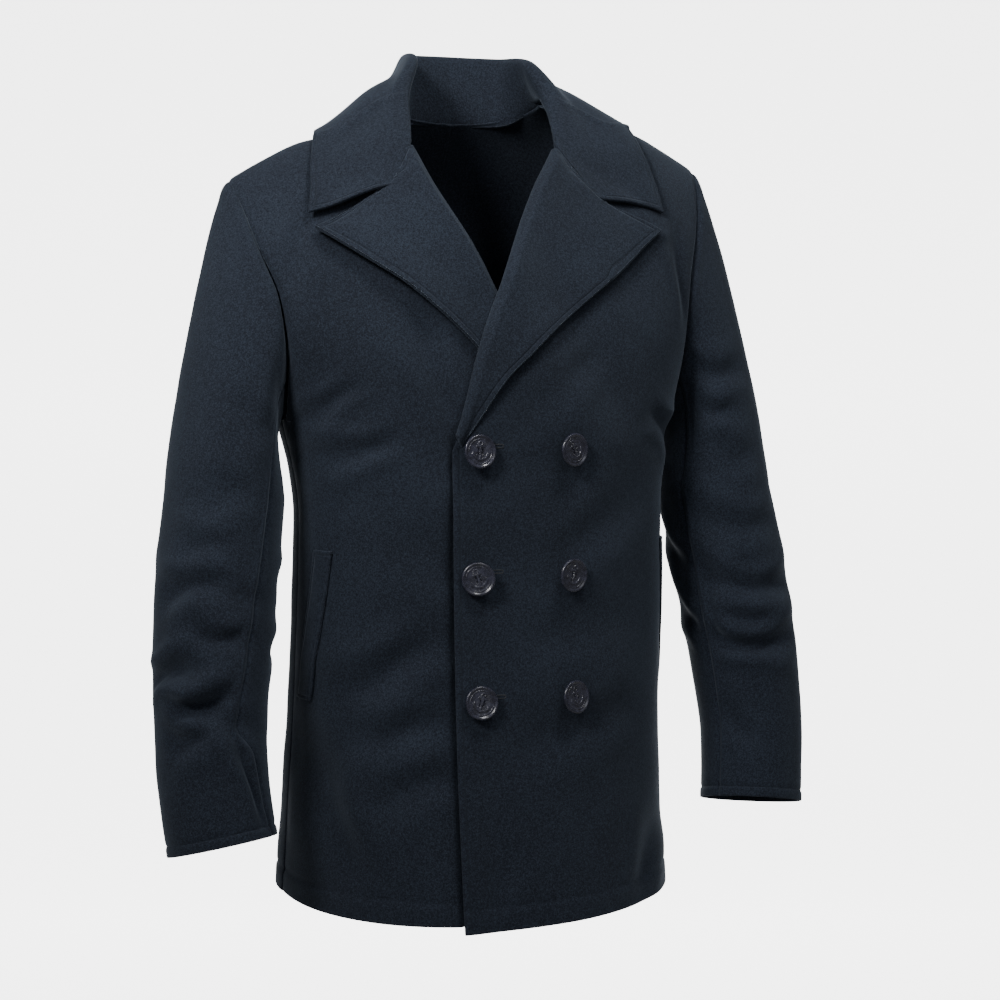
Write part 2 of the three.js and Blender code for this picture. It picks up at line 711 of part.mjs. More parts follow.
const coat = new THREE.Group();
for (const [sideName, side] of [["left", 1], ["right", -1]]) {
  const innerEdge = (row) => frontInnerEdge(row, rollLines[sideName], frontHem[sideName]);
  coat.add(panel(`${sideName}_front`, side, -1, innerEdge, frontColumns, 1));
  coat.add(panel(`${sideName}_back`, side, 1, backInnerEdge, backColumns, 0.96));
  coat.add(sleevePiece(`${sideName}_top_sleeve`, sideName, side, true, 1));
  coat.add(sleevePiece(`${sideName}_under_sleeve`, sideName, side, false, 0.94));
  coat.add(lapel(`${sideName}_lapel`, sideName, side));
  coat.add(pocketWelt(`${sideName}_pocket_welt`, side));
}
coat.add(collar());
for (const row of buttonRows) {
  for (const column of buttonColumns) {
    coat.add(button(`button_${row.name}_${column.name}`, column.x, row.z, row[column.name]));
  }
}

export default coat;
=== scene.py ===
from functools import partial
import bpy
import numpy as np
from mathutils import Matrix, Vector


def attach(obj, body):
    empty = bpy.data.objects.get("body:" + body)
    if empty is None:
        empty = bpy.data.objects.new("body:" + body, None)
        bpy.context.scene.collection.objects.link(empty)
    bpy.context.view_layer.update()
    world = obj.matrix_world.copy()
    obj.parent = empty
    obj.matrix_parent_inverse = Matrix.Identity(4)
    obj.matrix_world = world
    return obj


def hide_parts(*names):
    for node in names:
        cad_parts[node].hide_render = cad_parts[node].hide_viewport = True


# Double-breasted pea coat in melton wool, in its worn form: shapes in millimetres, put into meshes in metres
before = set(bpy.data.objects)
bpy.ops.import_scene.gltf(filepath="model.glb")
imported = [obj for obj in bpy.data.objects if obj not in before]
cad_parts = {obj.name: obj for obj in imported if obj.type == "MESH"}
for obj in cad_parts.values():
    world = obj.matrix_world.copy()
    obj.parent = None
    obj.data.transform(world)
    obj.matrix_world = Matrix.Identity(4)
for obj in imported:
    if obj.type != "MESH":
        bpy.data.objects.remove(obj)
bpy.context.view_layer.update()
print("stage: frame loaded,", len(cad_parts), "CAD nodes")

cloth = {  # hem, cuff and edge lines are the distances of their stitches from the edge
    "wall": 2.5, "seamGap": 0.4, "tuck": 1.2, "hemLine": 21, "cuffLine": 9, "edgeLine": 5.5,
    "stitchless": 500,  # stands for no stitches near
}


def hermite(t, start, end, startSlope, endSlope):  # cubic with these ends and these slopes at them
    return ((2 * t**3 - 3 * t**2 + 1) * start + (t**3 - 2 * t**2 + t) * startSlope
            + (3 * t**2 - 2 * t**3) * end + (t**3 - t**2) * endSlope)


# Smooth curve through values at places: cubics whose end slopes are harmonic means of the chords beside them
def along(places, values, at):
    places, values, at = np.asarray(places, float), np.asarray(values, float), np.asarray(at, float)
    if places[0] > places[-1]:
        places, values = places[::-1], values[::-1]
    span = np.diff(places)
    chord = np.diff(values) / span
    product = chord[:-1] * chord[1:]
    inner = np.where(product > 0, 2 * product / np.where(product > 0, chord[:-1] + chord[1:], 1), 0)
    slope = np.concatenate([chord[:1], inner, chord[-1:]])
    at = np.clip(at, places[0], places[-1])
    i = np.clip(np.searchsorted(places, at, side="right") - 1, 0, len(span) - 1)
    t = (at - places[i]) / span[i]
    return hermite(t, values[i], values[i + 1], span[i] * slope[i], span[i] * slope[i + 1])


def smooth(value, low, high):  # 0 below low, 1 above high, 3t^2 - 2t^3 between
    t = np.clip((value - low) / (high - low), 0, 1)
    return t * t * (3 - 2 * t)


def bell(distance, size):  # 1 in the middle, falling as e to the minus squared distance
    return np.exp(-((distance / size) ** 2))


def mix(a, b, share):
    return a + (b - a) * share


def unit(v):
    return v / np.maximum(np.linalg.norm(v, axis=-1, keepdims=True), 1e-9)


def points(x, y, z):
    return np.stack(np.broadcast_arrays(x, y, z), -1).astype(float)


# Even, repeatable waviness: a sum of four sines of the two coordinates
def ripple(u, v, size, seed=0.0):
    a, b = u / size, v / size
    long = np.sin(a * 1.0 + b * 0.7 + seed) + np.sin(a * -0.6 + b * 1.3 + 2.1 * seed + 1)
    short = np.sin(a * 2.1 + b * 0.4 + 0.7 * seed + 4) + np.sin(a * 0.5 - b * 2.3 + 1.3 * seed)
    return (long + 0.6 * short) / 3.2


body = {
    "power": 2.35,
    "level": [-790, -675, -540, -400, -310, -250, -190, -130, -60, 40],
    "halfWidth": [195, 190, 187, 186, 200, 220, 244, 266, 284, 292],
    "middle": [12, 4, -14, -26, -18, -10, -4, 0, 4, 5],
    "front": [190, 166, 135, 118, 123, 124, 117, 109, 100, 90],
    "back": [134, 122, 112, 118, 124, 120, 112, 104, 90, 75],
    "frontClosing": 200, "backClosing": 130, "closingPower": 1.7,
    "frontHem": {"left": -787, "right": -782}, "sideHem": -779, "armpit": -310,
    "shoulderPoint": -72, "shoulderReach": 245, "shoulderCurve": 8, "neckReach": 78, "backNeck": -18,
    "pressDepth": 10, "pressAt": 136, "pressSpread": 26, "leastDepth": 0.5, "step": 0.05,
}
armhole = {"level": [-310, -280, -250, -190, -130, -72], "x": [200, 204, 206, 213, 231, 245]}
lean = {"rise": 9, "reach": (100, 170), "level": (-330, -100)}
shoulderSlope = -body["shoulderPoint"] / (body["shoulderReach"] - body["neckReach"])


def halfWidth(z):
    return along(body["level"], body["halfWidth"], z)


def middleLine(z):
    return along(body["level"], body["middle"], z)


# Rise of the shoulder seam over a straight line: half a sine wave, less a bell where the collar presses it
def seamRise(x):
    share = np.clip((np.abs(x) - body["neckReach"]) / (body["shoulderReach"] - body["neckReach"]), 0, 1)
    press = body["pressDepth"] * bell(np.abs(x) - body["pressAt"], body["pressSpread"])
    return body["shoulderCurve"] * np.sin(np.pi * share) - press


def ridge(x):  # a slope outside the neck points, a parabola between them
    outside = shoulderSlope * (body["neckReach"] - np.abs(x)) + seamRise(x)
    inside = shoulderSlope * (body["neckReach"] ** 2 - x * x) / (2 * body["neckReach"])
    return np.where(np.abs(x) > body["neckReach"], outside, inside)


# Depth of the body: its full depth times a superellipse quarter of the drop below the shoulder ridge
def bodyDepth(x, z, face):
    full = along(body["level"], body["front" if face < 0 else "back"], z)
    share = np.clip((ridge(x) - z) / body["frontClosing" if face < 0 else "backClosing"], 0, 1)
    return full * (1 - (1 - share) ** body["closingPower"]) ** (1 / body["closingPower"])


# Body surface seen from the front: superellipse section of that depth at each level; face is -1 in front
def bodyPoint(x, z, face):
    ratio = np.minimum(1, np.abs(x) / halfWidth(z))
    across = (1 - ratio ** body["power"]) ** (1 / body["power"])
    return points(x, middleLine(z) + face * bodyDepth(x, z, face) * across, z)


# Outward normal: gradient of the section's equation, by central differences; on the ridge it is the
# shoulder's
def bodyNormal(point, face):
    def field(x, y, z):
        across = np.abs(x) / halfWidth(z)
        ahead = np.abs(y - middleLine(z)) / np.maximum(body["leastDepth"], bodyDepth(x, z, face))
        return across ** body["power"] + ahead ** body["power"]

    x, y, z = point[..., 0], point[..., 1], point[..., 2]
    step = body["step"]
    slope = points(field(x + step, y, z) - field(x - step, y, z),
                   field(x, y + step, z) - field(x, y - step, z),
                   field(x, y, z + step) - field(x, y, z - step))
    onRidge = (ridge(x) - z < step)[..., None]
    return unit(np.where(onRidge, points(shoulderSlope * np.sign(x + 1e-9), 0 * x, 1 + 0 * x), slope))


def turnOf(ratio):  # turn round the section of a place at that share of the half width
    return np.sign(ratio) * np.arcsin(np.minimum(1, np.abs(ratio)) ** (body["power"] / 2))


def reachOf(turn):
    return np.sign(turn) * np.abs(np.sin(turn)) ** (2 / body["power"])


rollLines = {
    "left": {"level": [-335, -311, -246, -195, -134, -89, -52], "x": [-68, -58, -39, -17, 14, 41, 70]},
    "right": {"level": [-335, -290, -240, -190, -148, -89, -52], "x": [-68, -31, -4, 20, 38, 67, 80]},
}
cover = {"overlap": 68, "breakLevel": -335, "fade": 75,
         "level": [-790, -360, -325, -270, -150, -60], "lift": [3.4, 3.4, 7.2, 12.8, 12.8, 8], "margin": 4}


# Stand-off of the left front over the right one, faded out past the right one's edge
def standOff(side, x, z):
    if side < 0:
        return 0 * (x + z)
    covered = np.where(z < cover["breakLevel"], cover["overlap"],
                       -along(rollLines["right"]["level"], rollLines["right"]["x"], z))
    reach = covered + cover["margin"]
    return along(cover["level"], cover["lift"], z) * (1 - smooth(x, reach, reach + cover["fade"]))


def onFront(side, x, z, height):  # a place on the front at that height over its surface
    point = bodyPoint(x, z, -1)
    return point + bodyNormal(point, -1) * (standOff(side, x, z) + height)[..., None]


# A grid in its final place: own coordinates are mirrored on the right side, and the left shoulder stands
# higher
def placed(grid, side):
    out = grid * np.array([side, 1, 1])
    x, z = out[..., 0], out[..., 2]
    share = smooth(np.abs(x), *lean["reach"]) * smooth(z, *lean["level"])
    out[..., 2] = z + np.sign(x) * lean["rise"] * share
    return out


# Soft creases: each is a line between two places; its section is a bell trough with a low ridge on either
# side, and its depth fades to nothing at both ends
crease = {
    "ridge": 0.45, "ridgeAt": 1.9, "ridgeWide": 0.9, "uneven": 0.25,
    "fadeIn": (-0.12, 0.3), "fadeOut": (0.6, 1.12),  # shares of the way along the line
}


def creased(u, v, creases):
    total = 0 * (u + v)
    for one in creases:
        (u0, v0), (u1, v1) = one["line"]
        du, dv = u1 - u0, v1 - v0
        length = np.hypot(du, dv)
        t = ((u - u0) * du + (v - v0) * dv) / length**2
        away = ((u - u0) * dv - (v - v0) * du) / length - one["bow"] * np.sin(np.pi * np.clip(t, 0, 1))
        away = away / (one["wide"] * (1 + crease["uneven"] * np.sin(t * 5 + one["depth"])))
        ridges = crease["ridge"] * bell(np.abs(away) - crease["ridgeAt"], crease["ridgeWide"])
        fade = smooth(t, *crease["fadeIn"]) * (1 - smooth(t, *crease["fadeOut"]))
        total = total - one["depth"] * (bell(away, 1) - ridges) * fade
    return total


# Mesh of a closed cloth wall about a middle grid. The edge points are drawn in by a share of half the wall,
# so that neighbours press together at their seams; then each row becomes a ring: outer skin, half round at
# one edge, inner skin, half round at the other. At the first and last rows the rings close like a pillow's
# end: heights times cos, shifts along the row tangent times sin
def clothWall(name, grid, wall, attributes, rim=3, outward=1, inset=0.4):
    rows, columns = grid.shape[:2]
    wall = np.broadcast_to(np.asarray(wall, float), (rows, columns))
    grid = grid.copy()
    half = wall / 2
    alongColumns = unit(np.gradient(grid, axis=1))
    alongRows = unit(np.gradient(grid, axis=0))
    normal = unit(np.cross(alongColumns, alongRows)) * outward
    for index, sign in ((0, 1), (-1, -1)):
        grid[:, index] += sign * alongColumns[:, index] * half[:, index, None] * inset
        grid[index] += sign * alongRows[index] * half[index, :, None] * inset
    arc = np.linspace(0, np.pi, rim + 2)[1:-1]
    there = np.arange(columns)
    order = np.concatenate([there, np.full(rim, columns - 1), there[::-1], np.zeros(rim, int)])
    height = np.concatenate([np.ones(columns), np.cos(arc), -np.ones(columns), -np.cos(arc)])
    shift = np.concatenate([np.zeros(columns), np.sin(arc), np.zeros(columns), -np.sin(arc)])
    spin = np.linspace(0, np.pi / 2, rim + 1)[1:]
    rowOrder = np.concatenate([np.zeros(rim, int), np.arange(rows), np.full(rim, rows - 1)])
    keep = np.concatenate([np.cos(spin)[::-1], np.ones(rows), np.cos(spin)])
    push = np.concatenate([-np.sin(spin)[::-1], np.zeros(rows), np.sin(spin)])
    r, c = np.meshgrid(rowOrder, order, indexing="ij")
    lift = (height[None, :] * keep[:, None])[..., None]
    slide = (shift[None, :] * keep[:, None])[..., None]
    skin = grid[r, c] + half[r, c][..., None] * (normal[r, c] * lift + alongColumns[r, c] * slide
                                                + alongRows[r, c] * push[:, None, None])
    count = len(order)
    quads = ringQuads(len(rowOrder), count, outward)
    # the end rings fold onto the middle line, so their two halves are merged point by point
    merged = np.arange(len(rowOrder) * count)
    place = np.arange(count)
    partner = np.where(place >= columns + rim, 2 * columns + rim - 1 - place, place)
    partner = np.where((place >= columns) & (place < columns + rim), columns - 1, partner)
    partner = np.where(place >= 2 * columns + rim, 0, partner)
    for ring in (0, len(rowOrder) - 1):
        merged[ring * count:(ring + 1) * count] = ring * count + partner
        skin[ring] = skin[ring, partner]
    values = {key: np.broadcast_to(value, (rows, columns, value.shape[-1]))[r, c].reshape(-1, value.shape[-1])
              for key, value in attributes.items()}
    return makeMesh(name, skin.reshape(-1, 3), merged[quads], values)


def ringQuads(rings, count, outward=1):  # faces between closed rings of points, turned round if outward is -1
    i, j = np.meshgrid(np.arange(rings - 1), np.arange(count), indexing="ij")
    k = (j + 1) % count
    here, above = i * count, (i + 1) * count
    quads = np.stack([here + j, here + k, above + k, above + j], -1).reshape(-1, 4)
    return quads if outward > 0 else quads[:, ::-1]


# Vertices in millimetres, faces as rows of four (a repeated corner makes a triangle, two make none)
def makeMesh(name, vertices, faces, attributes=None):
    used, compact = np.unique(faces, return_inverse=True)
    faces = compact.reshape(faces.shape)
    vertices = vertices[used] * 0.001
    same = [faces[:, i] == faces[:, (i + 1) % 4] for i in range(4)]
    doubled = sum(s.astype(int) for s in same)
    quads = faces[doubled == 0]
    thin = faces[doubled == 1]
    which = np.argmax(np.stack([s[doubled == 1] for s in same], 1), 1) if len(thin) else np.zeros(0, int)
    corner = (which[:, None] + np.array([1, 2, 3])) % 4
    triangles = np.take_along_axis(thin, corner, 1) if len(thin) else np.zeros((0, 3), int)
    mesh = bpy.data.meshes.new(name)
    mesh.vertices.add(len(vertices))
    mesh.vertices.foreach_set("co", vertices.astype(np.float32).ravel())
    loops = np.concatenate([quads.ravel(), triangles.ravel()])
    starts = np.concatenate([np.arange(len(quads)) * 4, len(quads) * 4 + np.arange(len(triangles)) * 3])
    mesh.loops.add(len(loops))
    mesh.loops.foreach_set("vertex_index", loops.astype(np.int32))
    mesh.polygons.add(len(starts))
    mesh.polygons.foreach_set("loop_start", starts.astype(np.int32))
    mesh.polygons.foreach_set("use_smooth", np.ones(len(starts), bool))
    mesh.update(calc_edges=True)
    mesh.validate()
    for key, value in (attributes or {}).items():
        layer = mesh.attributes.new(key, "FLOAT_VECTOR", "POINT")
        value = np.concatenate([value[used], np.zeros((len(used), 3 - value.shape[1]))], 1)
        layer.data.foreach_set("vector", value.astype(np.float32).ravel())
    made = bpy.data.objects.new(name, mesh)
    bpy.context.scene.collection.objects.link(made)
    return made


# Ease a measure from 0 at the start to its length at the end, with steps that shrink near both ends
def spread(count, crowd=0.35):
    t = np.linspace(0, 1, count)
    return t - crowd * np.sin(2 * np.pi * t) / (2 * np.pi)


def finishPiece(made, nodeName, material):
    made.data.materials.append(material)
    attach(made, "root")
    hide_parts(nodeName)
    return made


# Shader maths: a socket that can be added, taken away, multiplied and divided, on either side of the sign
class Wire:
    def __init__(self, tree, socket):
        self.tree, self.socket = tree, socket

    def math(self, operation, *values):
        node = self.tree.nodes.new("ShaderNodeMath")
        node.operation = operation
        for slotIn, value in zip(node.inputs, values):
            if isinstance(value, Wire):
                self.tree.links.new(value.socket, slotIn)
            else:
                slotIn.default_value = value
        return Wire(self.tree, node.outputs[0])

    def __add__(self, other):
        return self.math("ADD", self, other)

    def __radd__(self, other):
        return self.math("ADD", other, self)

    def __sub__(self, other):
        return self.math("SUBTRACT", self, other)

    def __rsub__(self, other):
        return self.math("SUBTRACT", other, self)

    def __mul__(self, other):
        return self.math("MULTIPLY", self, other)

    def __rmul__(self, other):
        return self.math("MULTIPLY", other, self)

    def __truediv__(self, other):
        return self.math("DIVIDE", self, other)

    def __rtruediv__(self, other):
        return self.math("DIVIDE", other, self)

    def __abs__(self):
        return self.math("ABSOLUTE", self)

    def fraction(self):
        return self.math("FRACT", self)


class Finish:
    def __init__(self, name):
        self.material = bpy.data.materials.new(name)
        self.material.use_nodes = True
        self.tree = self.material.node_tree
        self.shader = self.tree.nodes["Principled BSDF"]

    # one node: its type, its settings, then the values or links of its sockets; gives back the named output
    def node(self, kind, settings=None, sockets=None, output=0):
        made = self.tree.nodes.new(kind)
        for key, value in (settings or {}).items():
            setattr(made, key, value)
        for key, value in (sockets or {}).items():
            if isinstance(value, Wire):
                self.tree.links.new(value.socket, made.inputs[key])
            else:
                made.inputs[key].default_value = value
        return Wire(self.tree, made.outputs[output])

    def set(self, **sockets):
        for key, value in sockets.items():
            target = self.shader.inputs[key.replace("_", " ")]
            if isinstance(value, Wire):
                self.tree.links.new(value.socket, target)
            else:
                target.default_value = value

    def blend(self, low, high, factor):
        return self.node("ShaderNodeMix", {"data_type": "RGBA"}, {"Factor": factor, 6: low, 7: high}, 2)

    def between(self, value, low, high):  # smooth step of a value from low to high
        return self.node("ShaderNodeMapRange", {"interpolation_type": "SMOOTHSTEP"},
                         {"Value": value, "From Min": low, "From Max": high})

    def noise(self, at, scale, detail, rough):
        return self.node("ShaderNodeTexNoise",
                         sockets={"Vector": at, "Scale": scale, "Detail": detail, "Roughness": rough})


# Melton wool: fulled cloth with a short raised nap. Colour and bump come from noise at four sizes in Object
# coordinates. The attribute "edge" holds the distance to the stitched edge and the way along it, in metres:
# the stitch line is a soft groove whose colour is darkened as painted shade, with thread dashes lying in it
melton = {
    "dark": (0.0042, 0.0062, 0.0120, 1), "light": (0.0215, 0.0300, 0.0460, 1),
    "fibre": (0.064, 0.079, 0.106, 1), "thread": (0.010, 0.014, 0.022, 1),
    "sheen": 0.16, "sheenRoughness": 0.5, "sheenTint": (0.55, 0.68, 0.85, 1), "specular": 0.25,
    "cloudScale": 9, "mottleScale": 420, "napScale": 850, "fibreScale": 1300, "fibreStretch": (1, 1, 0.45),
    "stitch": 0.0034, "groove": (0.0002, 0.0016), "threadHalf": (0.0002, 0.0005),  # metres
}


def meltonWool():
    f = Finish("meltonWool")
    place = f.node("ShaderNodeTexCoord", output="Object")
    edge = f.node("ShaderNodeAttribute", {"attribute_name": "edge"}, output="Vector")
    away = f.node("ShaderNodeSeparateXYZ", sockets={0: edge})
    way = Wire(f.tree, away.socket.node.outputs[1])

    lengthened = f.node("ShaderNodeMapping", sockets={"Vector": place, "Scale": melton["fibreStretch"]})
    cloudy = f.noise(place, melton["cloudScale"], 3, 0.6)
    mottle = f.noise(place, melton["mottleScale"], 3, 0.7)
    nap = f.noise(place, melton["napScale"], 3, 0.75)
    fibres = f.noise(lengthened, melton["fibreScale"], 3, 0.8)
    tone = f.between(cloudy * 0.12 + mottle * 0.34 + nap * 0.54, 0.40, 0.62)
    base = f.blend(melton["dark"], melton["light"], tone)
    lint = f.between(fibres, 0.60, 0.74) * 0.55
    base = f.blend(base, melton["fibre"], lint)
    # the groove of the stitch line, and the thread lying in it between one hole and the next. The thread
    # dashes have the thread's own colour; the darker colour across the whole groove is painted shade
    offLine = abs(away - cloth["edgeLine"] / 1000)
    groove = 1 - f.between(offLine, *melton["groove"])
    dash = (way / melton["stitch"]).fraction()
    thread = (1 - f.between(abs(dash - 0.5), 0.30, 0.42)) * (1 - f.between(offLine, *melton["threadHalf"]))
    # painted shade: a quarter share of the thread colour darkens the whole stitch groove, besides the real
    # thread
    base = f.blend(base, melton["thread"], thread * 0.7 + groove * 0.25)
    height = nap * 0.35 + mottle * 0.5 + fibres * 0.2 - groove * 1.6 + thread * 0.5
    bump = f.node("ShaderNodeBump", sockets={"Height": height, "Distance": 0.0006, "Strength": 0.55})
    f.set(Base_Color=base, Roughness=f.between(mottle, 0.2, 0.8) * 0.08 + 0.88, Normal=bump,
          Sheen_Weight=melton["sheen"], Sheen_Roughness=melton["sheenRoughness"],
          Sheen_Tint=melton["sheenTint"], Specular_IOR_Level=melton["specular"])
    return f.material


wool = meltonWool()

# The camera stands to the coat's own right, level with its chest, and looks a little down
view = {"at": (-0.7525, -2.0673, -0.198), "heading": 20.78, "down": 5.13, "lens": 79.2, "sensor": 36}
heading, down = np.radians(view["heading"]), np.radians(view["down"])
forward = Vector((np.sin(heading) * np.cos(down), np.cos(heading) * np.cos(down), -np.sin(down)))
rightward = Vector((np.cos(heading), -np.sin(heading), 0))
upward = rightward.cross(forward)
cameraData = bpy.data.cameras.new("camera")
cameraData.lens, cameraData.sensor_width = view["lens"], view["sensor"]
cameraData.clip_start, cameraData.clip_end = 0.05, 60
camera = bpy.data.objects.new("camera", cameraData)
bpy.context.scene.collection.objects.link(camera)
camera.matrix_world = Matrix((
    (rightward.x, upward.x, -forward.x, view["at"][0]),
    (rightward.y, upward.y, -forward.y, view["at"][1]),
    (rightward.z, upward.z, -forward.z, view["at"][2]),
    (0, 0, 0, 1)))
bpy.context.scene.camera = camera

# Row by row places of a panel: 0 to 1 up the side seam, 1 to 2 round the armhole to the shoulder point
panel = {"lowerRows": 118, "upperRows": 96, "frontColumns": 112, "backColumns": 58, "neckRow": 1 + 10 / 12}


def armholeLevel(turn):  # a sine between the armpit and the shoulder point
    return mix(body["armpit"], body["shoulderPoint"], 0.5 + 0.5 * np.sin(turn))


def outerEdge(row):  # the side seam, then the armhole as half a turn of a sine
    turn = np.radians(-90 + 180 * np.clip(row - 1, 0, 1))
    z = np.where(row <= 1, mix(body["sideHem"], body["armpit"], np.minimum(row, 1)), armholeLevel(turn))
    return np.where(row <= 1, halfWidth(z), along(armhole["level"], armhole["x"], z)), z


def frontInnerEdge(sideName, row):  # the front edge, then the roll line, then the neckline
    roll, hem = rollLines[sideName], body["frontHem"][sideName]
    neckX, neckZ = roll["x"][-1], roll["level"][-1]
    rollZ = mix(cover["breakLevel"], neckZ, np.clip((row - 1) / (panel["neckRow"] - 1), 0, 1))
    share = np.clip((row - panel["neckRow"]) / (2 - panel["neckRow"]), 0, 1)
    onRoll, low = row <= panel["neckRow"], row <= 1
    x = np.where(onRoll, along(roll["level"], roll["x"], rollZ), mix(neckX, body["neckReach"], share))
    z = np.where(onRoll, rollZ, mix(neckZ, 0, share))
    edgeZ = mix(hem, cover["breakLevel"], np.minimum(row, 1))
    return np.where(low, -cover["overlap"], x), np.where(low, edgeZ, z)


def backInnerEdge(row):  # the centre back seam, then a quarter round of the neckline
    half = cloth["seamGap"] / 2
    rise = np.clip((row - 1) / (panel["neckRow"] - 1), 0, 1)
    turn = np.clip((row - panel["neckRow"]) / (2 - panel["neckRow"]), 0, 1) * np.pi / 2
    low = np.where(row <= 1, mix(body["sideHem"], body["armpit"], np.minimum(row, 1)),
                   mix(body["armpit"], body["backNeck"], rise))
    z = np.where(row <= panel["neckRow"], low, body["backNeck"] * np.cos(turn))
    return half + (body["neckReach"] - half) * np.sin(turn) * (row > panel["neckRow"]), z


# Places (x, z) of a panel seen from the front, spread by their turn round the body section
def panelPlaces(innerEdge, columns):
    upper = 1 + np.linspace(0, 1, panel["upperRows"] + 1)[1:]
    row = np.concatenate([spread(panel["lowerRows"] + 1, 0.3), upper])[:, None]
    share = spread(columns + 1, 0.45)[None, :]
    innerX, innerZ = innerEdge(row)
    outerX, outerZ = outerEdge(row)
    innerTurn = turnOf(innerX / halfWidth(innerZ))
    outerTurn = np.where(row <= 1, np.pi / 2, turnOf(outerX / halfWidth(outerZ)))
    reach = reachOf(mix(innerTurn, outerTurn, share))
    part = (reach - reachOf(innerTurn)) / (reachOf(outerTurn) - reachOf(innerTurn))
    x = mix(innerX, outerX, part)
    return x, mix(innerZ, outerZ, part) + seamRise(x) * np.maximum(0, row - 1), row


# Lengths along the rows and columns of a grid, used for distances to its edges
def gridLengths(grid):
    across = np.cumsum(np.linalg.norm(np.diff(grid, axis=1), axis=-1), 1)
    upwards = np.cumsum(np.linalg.norm(np.diff(grid, axis=0), axis=-1), 0)
    return np.pad(across, ((0, 0), (1, 0))), np.pad(upwards, ((1, 0), (0, 0)))


# A seam's edge rolls in: a bell of the distance to it, with a faint pucker along it
def seamDip(distance, way, depth=1.1, size=3.5):
    pucker = 0.22 * (1 + 0.22 * np.sin(way / 4.1) + 0.18 * np.sin(way / 9.7 + 1))
    return -depth * bell(distance, size) - pucker * bell(distance, 2.6 * size)


frontCreases = {
    "right": [
        {"line": ((180, -600), (156, -750)), "depth": 2.2, "wide": 15, "bow": -6},
        {"line": ((172, -585), (70, -505)), "depth": 1.9, "wide": 17, "bow": 6},
        {"line": ((168, -625), (66, -585)), "depth": 1.6, "wide": 17, "bow": 5},
        {"line": ((150, -672), (60, -640)), "depth": 1.2, "wide": 16, "bow": 4},
        {"line": ((196, -345), (110, -322)), "depth": 1.3, "wide": 11, "bow": -4},
        {"line": ((198, -322), (150, -270)), "depth": 1.2, "wide": 9, "bow": 3},
        {"line": ((96, -200), (56, -330)), "depth": 1.6, "wide": 14, "bow": -5},
        {"line": ((205, -185), (180, -90)), "depth": 0.8, "wide": 8, "bow": 3},
        {"line": ((120, -410), (40, -470)), "depth": 0.9, "wide": 22, "bow": 4},
    ],
    "left": [
        {"line": ((-8, -306), (96, -236)), "depth": 0.9, "wide": 15, "bow": 4},
        {"line": ((150, -365), (10, -450)), "depth": 1.1, "wide": 20, "bow": -6},
        {"line": ((140, -505), (0, -522)), "depth": 0.9, "wide": 22, "bow": 6},
        {"line": ((-30, -630), (140, -585)), "depth": 1.2, "wide": 20, "bow": -6},
        {"line": ((196, -338), (140, -305)), "depth": 1.6, "wide": 11, "bow": 4},
        {"line": ((196, -130), (204, -230)), "depth": 1.3, "wide": 8, "bow": 4},
        {"line": ((165, -700), (120, -780)), "depth": 1.2, "wide": 16, "bow": 4},
        {"line": ((-20, -700), (-40, -780)), "depth": 0.8, "wide": 14, "bow": 3},
    ],
}
backCreases = [
    {"line": ((60, -360), (175, -330)), "depth": 1.8, "wide": 16, "bow": 6},
    {"line": ((40, -410), (170, -395)), "depth": 2.0, "wide": 18, "bow": 8},
    {"line": ((30, -465), (150, -470)), "depth": 1.4, "wide": 20, "bow": 8},
    {"line": ((150, -180), (196, -270)), "depth": 1.6, "wide": 12, "bow": 5},
    {"line": ((90, -560), (110, -770)), "depth": 2.2, "wide": 20, "bow": -8},
    {"line": ((160, -600), (165, -770)), "depth": 1.4, "wide": 15, "bow": 5},
]


# The pocket welt lies between two lines of turn round the body section; the slit runs along its outer edge
welt = {
    "top": (-432, 63.5), "bottom": (-578, 75), "width": 10.4,  # levels and turns, and the width in degrees
    "wall": 2.4, "rest": {"left": -0.6, "right": 0.7}, "rows": 90, "columns": 16,
    "slitAway": 0.7, "slitWide": 1.1, "slitEnds": 0.03,  # degrees, degrees and a share of the length
    "puff": 0.5, "seam": 3.2, "seamDepth": 0.4, "seamWide": 1.2, "stitchIn": 3.3,
}


def pocketSlit(x, z):  # 1 along the slit, a bell across it, eased at both ends
    share = (z - welt["bottom"][0]) / (welt["top"][0] - welt["bottom"][0])
    turn = np.degrees(turnOf(np.clip(x / halfWidth(z), -1, 1)))
    away = turn - mix(welt["bottom"][1], welt["top"][1], share) - welt["width"] - welt["slitAway"]
    inside = smooth(share, -0.02, welt["slitEnds"]) * (1 - smooth(share, 1 - welt["slitEnds"], 1.02))
    return bell(away, welt["slitWide"]) * inside


# How the panels drape. Waves have a height and a length, grooves a depth and a width, the rest where it
# sets in
drape = {
    "crease": 2.9, "slow": (1.2, 52), "slowFrom": (120, 320), "quick": (0.525, 19),
    "calm": 0.85, "calmWide": 14, "sideSeam": 0.35, "armholeSeam": 1.9,
    "backWave": (1.2, 31), "backFrom": (560, 790),
    "frontWave": (1.4, 27), "frontFrom": (640, 790), "frontReach": (-66, -10),
    "slit": 2, "edgeLift": 5, "edgeWide": 20, "edgeFrom": (-400, -345), "edgeGroove": (0.35, 1.6),
    "gutter": 5.5, "gutterStep": (-1, 4), "gutterReach": (-30, -10), "gutterRise": 30,
    "hemThick": 0.9, "hemSoft": 3, "hemGroove": (1.1, 2.6),
}


# Relief of a panel away from its seams: its creases, a slow wave and a quick one, as a height over the body
# surface
def panelRelief(x, z, creases, seed):
    (slow, slowSize), (quick, quickSize) = drape["slow"], drape["quick"]
    swell = slow * ripple(x, z, slowSize, seed) * smooth(-z, *drape["slowFrom"])
    return drape["crease"] * creased(x, z, creases) + swell + quick * ripple(x, z, quickSize, seed + 2)


